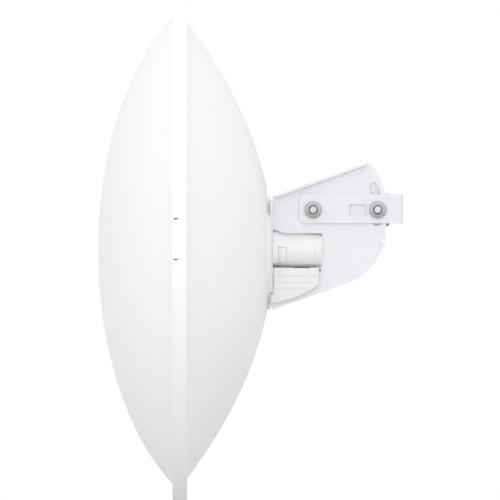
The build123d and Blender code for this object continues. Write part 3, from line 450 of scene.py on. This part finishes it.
def endTree(tree, entry, leave, geometry):
    # Every tree ends in plain geometry with its material on it
    real = tree.nodes.new("GeometryNodeRealizeInstances")
    tree.links.new(geometry, real.inputs["Geometry"])
    dress = tree.nodes.new("GeometryNodeSetMaterial")
    tree.links.new(real.outputs["Geometry"], dress.inputs["Geometry"])
    tree.links.new(entry["Material"], dress.inputs["Material"])
    tree.links.new(dress.outputs["Geometry"], leave.inputs["Geometry"])


def growMesh(tree, values, material, base=None):
    # Runs a tree on an object and gives back the plain mesh that it makes
    seed = newPiece(tree.name + "Seed", base or bpy.data.meshes.new(tree.name))
    modifier = seed.modifiers.new("shape", "NODES")
    modifier.node_group = tree
    for item in tree.interface.items_tree:
        if item.in_out == "INPUT" and item.name in values:
            modifier[item.identifier] = values[item.name]
        elif item.in_out == "INPUT" and item.name == "Material":
            modifier[item.identifier] = material
    seen = seed.evaluated_get(bpy.context.evaluated_depsgraph_get())
    mesh = bpy.data.meshes.new_from_object(seen)
    seed.modifiers.clear()
    bpy.data.objects.remove(seed)
    return mesh


def splitPosition(tree):
    where = tree.nodes.new("GeometryNodeInputPosition")
    split = tree.nodes.new("ShaderNodeSeparateXYZ")
    tree.links.new(where.outputs[0], split.inputs[0])
    return split.outputs


def joinXYZ(tree, x, y, z):
    node = tree.nodes.new("ShaderNodeCombineXYZ")
    for socket, value in zip(node.inputs, (x, y, z)):
        tree.links.new(value, socket)
    return node.outputs[0]


def setPosition(tree, geometry, position):
    node = tree.nodes.new("GeometryNodeSetPosition")
    tree.links.new(geometry, node.inputs["Geometry"])
    tree.links.new(position, node.inputs["Position"])
    return node.outputs["Geometry"]


def makeConicTree():
    # A shell of revolution about the dish's axis: out along one face, back along the other.
    # Its depth follows the conic c r^2 / (1 + sqrt(1 - (1 + k) c^2 r^2)), flat at the centre and at the rim.
    labels = ["Inner Radius", "Outer Radius", "Curvature", "Roundness", "Vertex", "Direction", "Flat Depth",
              "Rim Depth", "Wall", "Flange", "Skirt Radius", "Skirt Depth", "Axis Height"]
    tree, entry, leave = newTree("conicShell", [(label, "NodeSocketFloat", 0.0) for label in labels]
                                 + [("Steps", "NodeSocketInt", 96), ("Sides", "NodeSocketInt", 160)])

    calc = partial(addMath, tree)
    steps = entry["Steps"]
    rows = calc("ADD", calc("MULTIPLY", steps, 2.0), 2.0)
    grid = tree.nodes.new("GeometryNodeMeshGrid")
    grid.inputs["Size X"].default_value = 1.0
    grid.inputs["Size Y"].default_value = 1.0
    tree.links.new(calc("ADD", rows, 1.0), grid.inputs["Vertices X"])
    tree.links.new(calc("ADD", entry["Sides"], 1.0), grid.inputs["Vertices Y"])
    place = splitPosition(tree)
    row = calc("ROUND", calc("MULTIPLY", calc("ADD", place["X"], 0.5), rows))
    angle = calc("MULTIPLY", calc("ADD", place["Y"], 0.5), 2 * math.pi)
    outward = calc("DIVIDE", row, steps)
    back = calc("SUBTRACT", calc("ADD", calc("MULTIPLY", steps, 2.0), 1.0), row)
    inward = calc("MAXIMUM", calc("DIVIDE", back, steps), 0.0)
    reach = calc("SUBTRACT", entry["Outer Radius"], entry["Inner Radius"])
    radius = calc("ADD", entry["Inner Radius"], calc("MULTIPLY", calc("MINIMUM", outward, inward), reach))
    square = calc("MULTIPLY", radius, radius)
    curve = entry["Curvature"]
    fall = calc("MULTIPLY", calc("MULTIPLY", calc("MULTIPLY", curve, curve), entry["Roundness"]), square)
    root = calc("SQRT", calc("MAXIMUM", calc("SUBTRACT", 1.0, fall), 0.0))
    sag = calc("DIVIDE", calc("MULTIPLY", curve, square), calc("ADD", root, 1.0))
    sag = calc("MAXIMUM", sag, entry["Flat Depth"])
    outside = calc("MINIMUM", sag, entry["Rim Depth"])
    flangeBack = calc("ADD", entry["Rim Depth"], entry["Flange"])
    inside = calc("MINIMUM", calc("ADD", sag, entry["Wall"]), flangeBack)
    inSkirt = calc("GREATER_THAN", radius, entry["Skirt Radius"])
    longer = calc("MAXIMUM", calc("SUBTRACT", entry["Skirt Depth"], inside), 0.0)
    inside = calc("ADD", inside, calc("MULTIPLY", inSkirt, longer))
    onInside = calc("MULTIPLY", calc("GREATER_THAN", row, calc("ADD", steps, 0.5)),
                     calc("LESS_THAN", row, calc("SUBTRACT", rows, 0.5)))
    depth = calc("ADD", outside, calc("MULTIPLY", onInside, calc("SUBTRACT", inside, outside)))
    x = calc("ADD", entry["Vertex"], calc("MULTIPLY", entry["Direction"], depth))
    y = calc("MULTIPLY", radius, calc("COSINE", angle))
    z = calc("ADD", calc("MULTIPLY", radius, calc("SINE", angle)), entry["Axis Height"])
    moved = setPosition(tree, grid.outputs["Mesh"], joinXYZ(tree, x, y, z))
    merge = tree.nodes.new("GeometryNodeMergeByDistance")
    merge.inputs["Distance"].default_value = mergeDistance
    tree.links.new(moved, merge.inputs["Geometry"])
    endTree(tree, entry, leave, merge.outputs["Geometry"])
    return tree


threadFlat = 0.1
ridgeGain = 1 / (1 - 2 * threadFlat)


def makeThreadTree():
    # A screw thread along +Z whose crest follows a helix, with a tapered end
    tree, entry, leave = newTree("threadedRod", [
        ("Radius", "NodeSocketFloat", 0.005), ("Length", "NodeSocketFloat", 0.03),
        ("Pitch", "NodeSocketFloat", 0.0015), ("Depth", "NodeSocketFloat", 0.0009),
        ("Taper", "NodeSocketFloat", 0.001), ("Sides", "NodeSocketInt", 40),
        ("Per Turn", "NodeSocketInt", 8)])

    calc = partial(addMath, tree)
    turns = calc("DIVIDE", entry["Length"], entry["Pitch"])
    rod = tree.nodes.new("GeometryNodeMeshCylinder")
    tree.links.new(entry["Sides"], rod.inputs["Vertices"])
    tree.links.new(calc("ROUND", calc("MULTIPLY", turns, entry["Per Turn"])), rod.inputs["Side Segments"])
    tree.links.new(entry["Radius"], rod.inputs["Radius"])
    tree.links.new(entry["Length"], rod.inputs["Depth"])
    place = splitPosition(tree)
    turn = calc("DIVIDE", calc("ARCTAN2", place["Y"], place["X"]), 2 * math.pi)
    phase = calc("FRACT", calc("SUBTRACT", calc("DIVIDE", place["Z"], entry["Pitch"]), turn))
    ridge = calc("ABSOLUTE", calc("SUBTRACT", calc("MULTIPLY", phase, 2.0), 1.0))
    groove = calc("SUBTRACT", calc("MULTIPLY", ridge, ridgeGain), threadFlat * ridgeGain, clamp=True)
    cut = calc("MULTIPLY", groove, entry["Depth"])
    fromEnd = calc("SUBTRACT", calc("MULTIPLY", entry["Length"], 0.5), place["Z"])
    taper = calc("MAXIMUM", calc("SUBTRACT", entry["Taper"], fromEnd), 0.0)
    radius = calc("SUBTRACT", entry["Radius"], calc("MAXIMUM", cut, taper))
    share = calc("DIVIDE", radius, entry["Radius"])
    x = calc("MULTIPLY", place["X"], share)
    y = calc("MULTIPLY", place["Y"], share)
    spot = joinXYZ(tree, x, y, place["Z"])
    moved = setPosition(tree, rod.outputs["Mesh"], spot)
    endTree(tree, entry, leave, moved)
    return tree


def makeFourTree():
    # One part repeated at the corners of a rectangle that lies across the X axis
    tree, entry, leave = newTree("fourCorners", [
        ("Part", "NodeSocketObject", None), ("Centre", "NodeSocketVector", None),
        ("Spread Y", "NodeSocketFloat", 0.05), ("Spread Z", "NodeSocketFloat", 0.05)])
    grid = tree.nodes.new("GeometryNodeMeshGrid")
    grid.inputs["Vertices X"].default_value = 2
    grid.inputs["Vertices Y"].default_value = 2
    tree.links.new(entry["Spread Z"], grid.inputs["Size X"])
    tree.links.new(entry["Spread Y"], grid.inputs["Size Y"])
    stand = tree.nodes.new("GeometryNodeTransform")
    stand.inputs["Rotation"].default_value = (0.0, upright, 0.0)
    tree.links.new(grid.outputs["Mesh"], stand.inputs["Geometry"])
    tree.links.new(entry["Centre"], stand.inputs["Translation"])
    part = tree.nodes.new("GeometryNodeObjectInfo")
    part.inputs["As Instance"].default_value = True
    tree.links.new(entry["Part"], part.inputs["Object"])
    copies = tree.nodes.new("GeometryNodeInstanceOnPoints")
    tree.links.new(stand.outputs["Geometry"], copies.inputs["Points"])
    tree.links.new(part.outputs["Geometry"], copies.inputs["Instance"])
    endTree(tree, entry, leave, copies.outputs["Instances"])
    return tree


conicTree = makeConicTree()
threadTree = makeThreadTree()
fourTree = makeFourTree()


def pieceFrom(name, mesh):
    shape = bmesh.new()
    shape.from_mesh(mesh)
    cleanShape(shape)
    return fromBmesh(name, shape)


reflector = dict(focal=193.5 * mm, flatDepth=7.8 * mm, wall=2.4 * mm, flange=2.0 * mm, hole=24.25 * mm,
                 steps=110, sides=180)
radomeShell = dict(depth=191.2 * mm, halfHeight=345.4 * mm, wall=2.5 * mm, flange=3.0 * mm, lip=2.0 * mm,
                   steps=110, sides=180)


def makeReflector(s):
    vertex = dishHigh.x + s["flatDepth"]
    rimX = dishLow.x + s["flange"]
    values = {
        "Inner Radius": s["hole"], "Outer Radius": dishRadius, "Curvature": 1 / (2 * s["focal"]),
        "Roundness": 0.0, "Vertex": vertex, "Direction": -1.0, "Flat Depth": s["flatDepth"],
        "Rim Depth": vertex - rimX, "Wall": s["wall"], "Flange": s["flange"], "Skirt Radius": 2 * dishRadius,
        "Skirt Depth": 0.0, "Axis Height": axisZ, "Steps": s["steps"], "Sides": s["sides"]}
    mesh = growMesh(conicTree, values, finishOf("reflector_dish"))
    return pieceFrom("dishShell", mesh)


def makeRadome(s):
    lipFront = rimLow.x + s["lip"]
    values = {
        "Inner Radius": 0.0, "Outer Radius": (radomeHigh.z - radomeLow.z) / 2,
        "Curvature": s["depth"] / s["halfHeight"] ** 2, "Roundness": (s["halfHeight"] / s["depth"]) ** 2,
        "Vertex": radomeLow.x, "Direction": 1.0, "Flat Depth": 0.0, "Rim Depth": lipFront - radomeLow.x,
        "Wall": s["wall"], "Flange": s["flange"], "Skirt Radius": radomeHigh.z - axisZ - s["flange"],
        "Skirt Depth": radomeHigh.x - radomeLow.x, "Axis Height": axisZ, "Steps": s["steps"],
        "Sides": s["sides"]}
    mesh = growMesh(conicTree, values, finishOf("radome"))
    return pieceFrom("radomeShell", mesh)


standFor(makeReflector(reflector), "reflector_dish")
standFor(makeRadome(radomeShell), "radome")
print("reflector and radome made")

# Real sizes of the fasteners
fastenerSides = 48
strapBolt = dict(radius=4.95 * mm, pitch=1.5 * mm, threadDepth=0.9 * mm, threaded=32 * mm, taper=1.2 * mm,
                 flats=15 * mm, headHeight=9.0 * mm, flangeRadius=11.0 * mm, flangeEdge=0.9 * mm,
                 flangeHeight=2.2 * mm, sides=fastenerSides)
strapNut = dict(hole=5.0 * mm, flats=15 * mm, height=9.6 * mm, flangeRadius=11.4 * mm, flangeEdge=1.0 * mm,
                flangeHeight=2.4 * mm, countersink=1.3 * mm, sides=fastenerSides)
clampBolt = dict(radius=3.95 * mm, pitch=1.25 * mm, threadDepth=0.75 * mm, threaded=34 * mm, taper=1.0 * mm,
                 flats=13 * mm, headHeight=5.3 * mm, sides=fastenerSides)
clampNut = dict(hole=4.05 * mm, flats=13 * mm, height=6.5 * mm, countersink=0.8 * mm, sides=fastenerSides)
clampWasher = dict(hole=4.05 * mm, radius=7.5 * mm, height=1.6 * mm, sides=fastenerSides)
dishBolt = dict(radius=3.95 * mm, pitch=1.25 * mm, threadDepth=0.75 * mm, threaded=12 * mm, taper=1.0 * mm,
                headRadius=8.8 * mm, headHeight=3.0 * mm, sides=fastenerSides)
dishNut = dict(hole=4.0 * mm, flats=13 * mm, height=8.0 * mm, flangeRadius=8.4 * mm, flangeEdge=0.7 * mm,
               flangeHeight=1.6 * mm, countersink=0.8 * mm, sides=fastenerSides)
edgeBreak = 0.2 * mm
shankOverlap = 0.5 * mm
chamferShare = 0.475
domeSteps = 8
domeTurn = math.radians(10)
cornerSlope = math.tan(math.radians(30))


def turnedMesh(name, rings, sides, closed):
    # Each ring gives height and radius at an angle; a closed section leaves a hole along the axis
    shape = bmesh.new()
    made = []
    for ring in rings:
        verts = []
        for i in range(sides):
            angle = 2 * math.pi * i / sides
            height, radius = ring(angle)
            verts.append(shape.verts.new((radius * math.cos(angle), radius * math.sin(angle), height)))
        made.append(verts)
    pairs = list(zip(made, made[1:])) + ([(made[-1], made[0])] if closed else [])
    for low, high in pairs:
        for i in range(sides):
            j = (i + 1) % sides
            shape.faces.new((low[i], low[j], high[j], high[i]))
    if not closed:
        shape.faces.new(list(reversed(made[0])))
        shape.faces.new(made[-1])
    cleanShape(shape)
    return toMesh(name, shape)


def level(height, radius):
    return lambda angle: (height, radius)


def hexRadius(flats, angle):
    return flats / 2 / math.cos((angle + math.pi / 6) % (math.pi / 3) - math.pi / 6)


def hexLevel(height, flats, drop=0.0):
    # A ring on the hexagon; drop is how fast it sinks towards the corners
    def ring(angle):
        radius = hexRadius(flats, angle)
        return height - drop * (radius - chamferRadius(flats)), radius
    return ring


def chamferRadius(flats):
    return chamferShare * flats


def footRings(s, hole):
    # The seat: a flange with a sloping top, or the hexagon's own chamfer
    if "flangeRadius" in s:
        return [level(0, hole), level(0, s["flangeRadius"] - edgeBreak), level(edgeBreak, s["flangeRadius"]),
                level(s["flangeEdge"], s["flangeRadius"]), hexLevel(s["flangeHeight"], s["flats"])]
    return [level(0, hole), level(0, chamferRadius(s["flats"])), hexLevel(0, s["flats"], -cornerSlope)]


def nutMesh(name, s):
    sink = s["countersink"]
    rings = footRings(s, s["hole"])
    rings += [hexLevel(s["height"], s["flats"], cornerSlope), level(s["height"], chamferRadius(s["flats"])),
              level(s["height"], s["hole"] + sink), level(s["height"] - sink, s["hole"])]
    return turnedMesh(name, rings, s["sides"], True)


def headMesh(name, s):
    rings = footRings(s, s["radius"])
    rings += [hexLevel(s["headHeight"], s["flats"], cornerSlope),
              level(s["headHeight"], chamferRadius(s["flats"]))]
    return turnedMesh(name, rings, s["sides"], False)


def domeMesh(name, s):
    rings = [level(0, s["radius"]), level(0, s["headRadius"]), level(edgeBreak, s["headRadius"])]
    rise = s["headHeight"] - edgeBreak
    for i in range(1, domeSteps + 1):
        turn = domeTurn * i
        rings.append(level(edgeBreak + rise * math.sin(turn), s["headRadius"] * math.cos(turn)))
    return turnedMesh(name, rings, s["sides"], False)


def washerMesh(name, s):
    height, radius = s["height"], s["radius"]
    rings = [level(0, s["hole"]), level(0, radius - edgeBreak), level(edgeBreak, radius),
             level(height - edgeBreak, radius), level(height, radius - edgeBreak), level(height, s["hole"])]
    return turnedMesh(name, rings, s["sides"], True)


def shankMeshes(s, length, material):
    # Smooth shank under the head, then the thread, both pointing along -Z
    smooth = length - s["threaded"]
    values = {"Radius": s["radius"], "Length": s["threaded"], "Pitch": s["pitch"], "Depth": s["threadDepth"],
              "Taper": s["taper"]}
    thread = growMesh(threadTree, values, material)
    flip = Matrix.Translation((0, 0, s["threaded"] / 2 - length)) @ Matrix.Rotation(math.pi, 4, "X")
    parts = [(thread, flip)]
    if smooth > shankOverlap:
        rings = [level(-smooth, s["radius"]), level(shankOverlap, s["radius"])]
        parts.append((turnedMesh("plainShank", rings, s["sides"], False), unmoved))
    return parts


def joinMeshes(name, parts, place):
    shape = bmesh.new()
    for mesh, matrix in parts:
        count = len(shape.verts)
        shape.from_mesh(mesh)
        shape.verts.ensure_lookup_table()
        bmesh.ops.transform(shape, matrix=place @ matrix, verts=shape.verts[count:])
    bmesh.ops.recalc_face_normals(shape, faces=shape.faces)
    smoothByAngle(shape)
    return toMesh(name, shape)


def loneMesh(name, mesh, place):
    return joinMeshes(name, [(mesh, unmoved)], place)


def boltParts(head, s, length, material):
    return [(head, unmoved)] + shankMeshes(s, length, material)


def alongY(node, seatY, outwards):
    # Local +Z goes to +Y or -Y at the node's axis
    middle = centreOf(node)
    return Matrix.Translation((middle.x, seatY, middle.z)) @ Matrix.Rotation(-outwards * upright, 4, "X")


def alongX(seatX, outwards):
    return Matrix.Translation((seatX, 0, 0)) @ Matrix.Rotation(outwards * upright, 4, "Y")


def atCorners(name, node, part, centre, spreadY, spreadZ):
    pattern = newPiece(name + "Pattern", part)
    values = {"Part": pattern, "Centre": tuple(centre), "Spread Y": spreadY, "Spread Z": spreadZ}
    mesh = growMesh(fourTree, values, finishOf(node))
    bpy.data.objects.remove(pattern)
    standFor(pieceFrom(name, mesh), node)


def makeStrapFasteners():
    for which in ("pivot", "lock"):
        boltNode, nutNode = which + "_bolt", which + "_nut"
        boltLow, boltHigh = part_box(boltNode)
        seat = boltHigh.y - strapBolt["headHeight"]
        head = headMesh(which + "Head", strapBolt)
        parts = boltParts(head, strapBolt, seat - boltLow.y, finishOf(boltNode))
        mesh = joinMeshes(which + "StrapBolt", parts, alongY(boltNode, seat, 1))
        standFor(newPiece(which + "StrapBolt", mesh), boltNode)
        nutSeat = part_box(nutNode)[1].y
        nut = loneMesh(which + "FlangeNut", nutMesh(which + "Nut", strapNut), alongY(nutNode, nutSeat, -1))
        standFor(newPiece(which + "FlangeNut", nut), nutNode)


def makeClampFasteners():
    boltLow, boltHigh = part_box("clamp_bolts")
    washLow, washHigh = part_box("clamp_washers")
    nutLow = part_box("clamp_nuts")[0]
    spreadY = washHigh.y - washLow.y - 2 * clampWasher["radius"]
    spreadZ = washHigh.z - washLow.z - 2 * clampWasher["radius"]
    seat = boltLow.x + clampBolt["headHeight"]
    parts = boltParts(headMesh("clampHead", clampBolt), clampBolt, boltHigh.x - seat, finishOf("clamp_bolts"))
    bolt = joinMeshes("clampBolt", parts, alongX(0, -1))
    middle = Vector((0, (washLow.y + washHigh.y) / 2, (washLow.z + washHigh.z) / 2))
    atCorners("clampBolts", "clamp_bolts", bolt, middle + Vector((seat, 0, 0)), spreadY, spreadZ)
    washer = loneMesh("clampWasher", washerMesh("washer", clampWasher), alongX(0, 1))
    atCorners("clampWashers", "clamp_washers", washer, middle + Vector((washLow.x, 0, 0)), spreadY, spreadZ)
    nut = loneMesh("clampNut", nutMesh("nut", clampNut), alongX(0, 1))
    atCorners("clampNuts", "clamp_nuts", nut, middle + Vector((nutLow.x, 0, 0)), spreadY, spreadZ)


def makeDishFasteners():
    boltLow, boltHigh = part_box("dish_bolts")
    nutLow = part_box("dish_nuts")[0]
    spreadY = boltHigh.y - boltLow.y - 2 * dishBolt["headRadius"]
    spreadZ = boltHigh.z - boltLow.z - 2 * dishBolt["headRadius"]
    seat = boltLow.x + dishBolt["headHeight"]
    parts = boltParts(domeMesh("dishHead", dishBolt), dishBolt, boltHigh.x - seat, finishOf("dish_bolts"))
    bolt = joinMeshes("dishBolt", parts, alongX(0, -1))
    middle = Vector((0, (boltLow.y + boltHigh.y) / 2, (boltLow.z + boltHigh.z) / 2))
    atCorners("dishBolts", "dish_bolts", bolt, middle + Vector((seat, 0, 0)), spreadY, spreadZ)
    nut = loneMesh("dishNut", nutMesh("nut", dishNut), alongX(0, 1))
    atCorners("dishNuts", "dish_nuts", nut, middle + Vector((nutLow.x, 0, 0)), spreadY, spreadZ)


makeStrapFasteners()
makeClampFasteners()
makeDishFasteners()
print("fasteners made")

# Pieces that keep their CAD shape get rounded edges, in mm, on a merged copy
bevelSegments = 2
softened = {
    "side_plate_left": 0.55, "side_plate_right": 0.55, "bracket_base_plate": 0.5, "pole_strap": 0.55,
    "rear_housing": 0.5, "housing_end_cap": 0.35, "port_cover": 0.7, "clamp_saddle_fixed": 0.8,
    "clamp_saddle_moving": 0.8, "release_button_left": 0.3, "release_button_right": 0.3,
    "backing_plate": 0.4, "rim_band": 0.4, "slot_washers": 0.25,
    "radome_latch_1": 0.35, "radome_latch_2": 0.35, "radome_latch_3": 0.35, "radome_latch_4": 0.35,
}


def softCopy(node, width):
    mesh = nodes[node].data.copy()
    shape = bmesh.new()
    shape.from_mesh(mesh)
    bmesh.ops.remove_doubles(shape, verts=shape.verts, dist=mergeDistance)
    bmesh.ops.dissolve_limit(shape, angle_limit=flatAngle, verts=shape.verts, edges=shape.edges)
    smoothByAngle(shape)
    piece = fromBmesh(node + "_soft", shape)
    bevel = piece.modifiers.new("bevel", "BEVEL")
    bevel.width = width * mm
    bevel.segments = bevelSegments
    bevel.limit_method = "ANGLE"
    bevel.angle_limit = sharpAngle
    bevel.harden_normals = True
    standFor(piece, node)
    return piece


for node in nodes:
    giveMaterial(nodes[node], finishOf(node))
for node, width in softened.items():
    softCopy(node, width)
print("soft copies:", len(softened))

studio = dict(lens=1600.0, frameWidth=0.64, frameCentre=(-0.1243, -0.0515), floorDrop=0.09, floorRadius=6.0,
              floorTone=0.66, floorPaintedLightTone=0.98, floorPaintedLightFade=(1.3, 3.6), skyLevel=0.745, skyRise=0.49,
              floorSegments=96, floorRough=0.9, floorGloss=0.1, backdrop=1.0,
              panelSize=(7.0, 2.8), panelGlow=1.01, panelPlace=(-0.2, -5.0, 0.95),
              sensorWidth=36.0, clip=(1.0, 80.0))


def makeFloor():
    shape = bmesh.new()
    bmesh.ops.create_circle(shape, cap_ends=True, segments=studio["floorSegments"],
                            radius=studio["floorRadius"])
    bmesh.ops.translate(shape, verts=shape.verts, vec=(0, 0, cadLow.z - studio["floorDrop"]))
    floor = fromBmesh("studioFloor", shape)
    material, tree, shader, where = newMaterial("studioFloorPaper")
    length = tree.nodes.new("ShaderNodeVectorMath")
    length.operation = "LENGTH"
    tree.links.new(where, length.inputs[0])
    # The floor's colour runs from its own grey near the object to near white far off: painted light that
    # blends the far floor into the white backdrop and adds fill from low down
    near, far = studio["floorPaintedLightFade"]
    tone = spread(tree, length.outputs["Value"], studio["floorTone"], studio["floorPaintedLightTone"], near, far)
    tree.links.new(tone, shader.inputs["Base Color"])
    shader.inputs["Roughness"].default_value = studio["floorRough"]
    shader.inputs["Specular IOR Level"].default_value = studio["floorGloss"]
    # Nothing is seen of the floor from underneath
    out = next(node for node in tree.nodes if node.bl_idname == "ShaderNodeOutputMaterial")
    seen = tree.nodes.new("ShaderNodeMixShader")
    under = tree.nodes.new("ShaderNodeNewGeometry").outputs["Backfacing"]
    tree.links.new(under, seen.inputs[0])
    tree.links.new(shader.outputs[0], seen.inputs[1])
    tree.links.new(tree.nodes.new("ShaderNodeBsdfTransparent").outputs[0], seen.inputs[2])
    tree.links.new(seen.outputs[0], out.inputs[0])
    giveMaterial(floor, material)


def makeWorld():
    # Even soft light that gets stronger overhead; the camera sees plain white behind the object
    world = bpy.data.worlds.new("studio")
    bpy.context.scene.world = world
    world.use_nodes = True
    tree = world.node_tree
    tree.nodes.clear()
    out = tree.nodes.new("ShaderNodeOutputWorld")
    split = tree.nodes.new("ShaderNodeSeparateXYZ")
    tree.links.new(tree.nodes.new("ShaderNodeTexCoord").outputs["Generated"], split.inputs[0])
    height = addMath(tree, "MAXIMUM", split.outputs["Z"], 0.0)
    rising = addMath(tree, "ADD", addMath(tree, "MULTIPLY", height, studio["skyRise"]), studio["skyLevel"])
    light = tree.nodes.new("ShaderNodeBackground")
    plain = tree.nodes.new("ShaderNodeBackground")
    for background in (light, plain):
        background.inputs["Color"].default_value = (1, 1, 1, 1)
    tree.links.new(rising, light.inputs["Strength"])
    plain.inputs["Strength"].default_value = studio["backdrop"]
    seen = tree.nodes.new("ShaderNodeMixShader")
    tree.links.new(tree.nodes.new("ShaderNodeLightPath").outputs["Is Camera Ray"], seen.inputs[0])
    tree.links.new(light.outputs[0], seen.inputs[1])
    tree.links.new(plain.outputs[0], seen.inputs[2])
    tree.links.new(seen.outputs[0], out.inputs[0])


def makePanel():
    # Large soft panel on the camera's side
    wide, high = studio["panelSize"]
    data = bpy.data.lights.new("softPanel", "AREA")
    data.shape = "RECTANGLE"
    data.size = wide
    data.size_y = high
    data.energy = studio["panelGlow"] * math.pi * wide * high
    panel = newPiece("softPanel", data)
    panel.location = studio["panelPlace"]
    panel.rotation_euler = (upright, 0, 0)
    panel.visible_camera = False


def makeCamera():
    data = bpy.data.cameras.new("camera")
    camera = newPiece("camera", data)
    data.lens = studio["lens"]
    data.sensor_width = studio["sensorWidth"]
    distance = studio["frameWidth"] * studio["lens"] / data.sensor_width
    x, z = studio["frameCentre"]
    camera.location = (x, -distance, z)
    camera.rotation_euler = (upright, 0, 0)
    data.clip_start, data.clip_end = studio["clip"]
    bpy.context.scene.camera = camera


makeFloor()
makeWorld()
makePanel()
makeCamera()
bpy.context.scene.view_settings.view_transform = "Standard"
print("stage set")
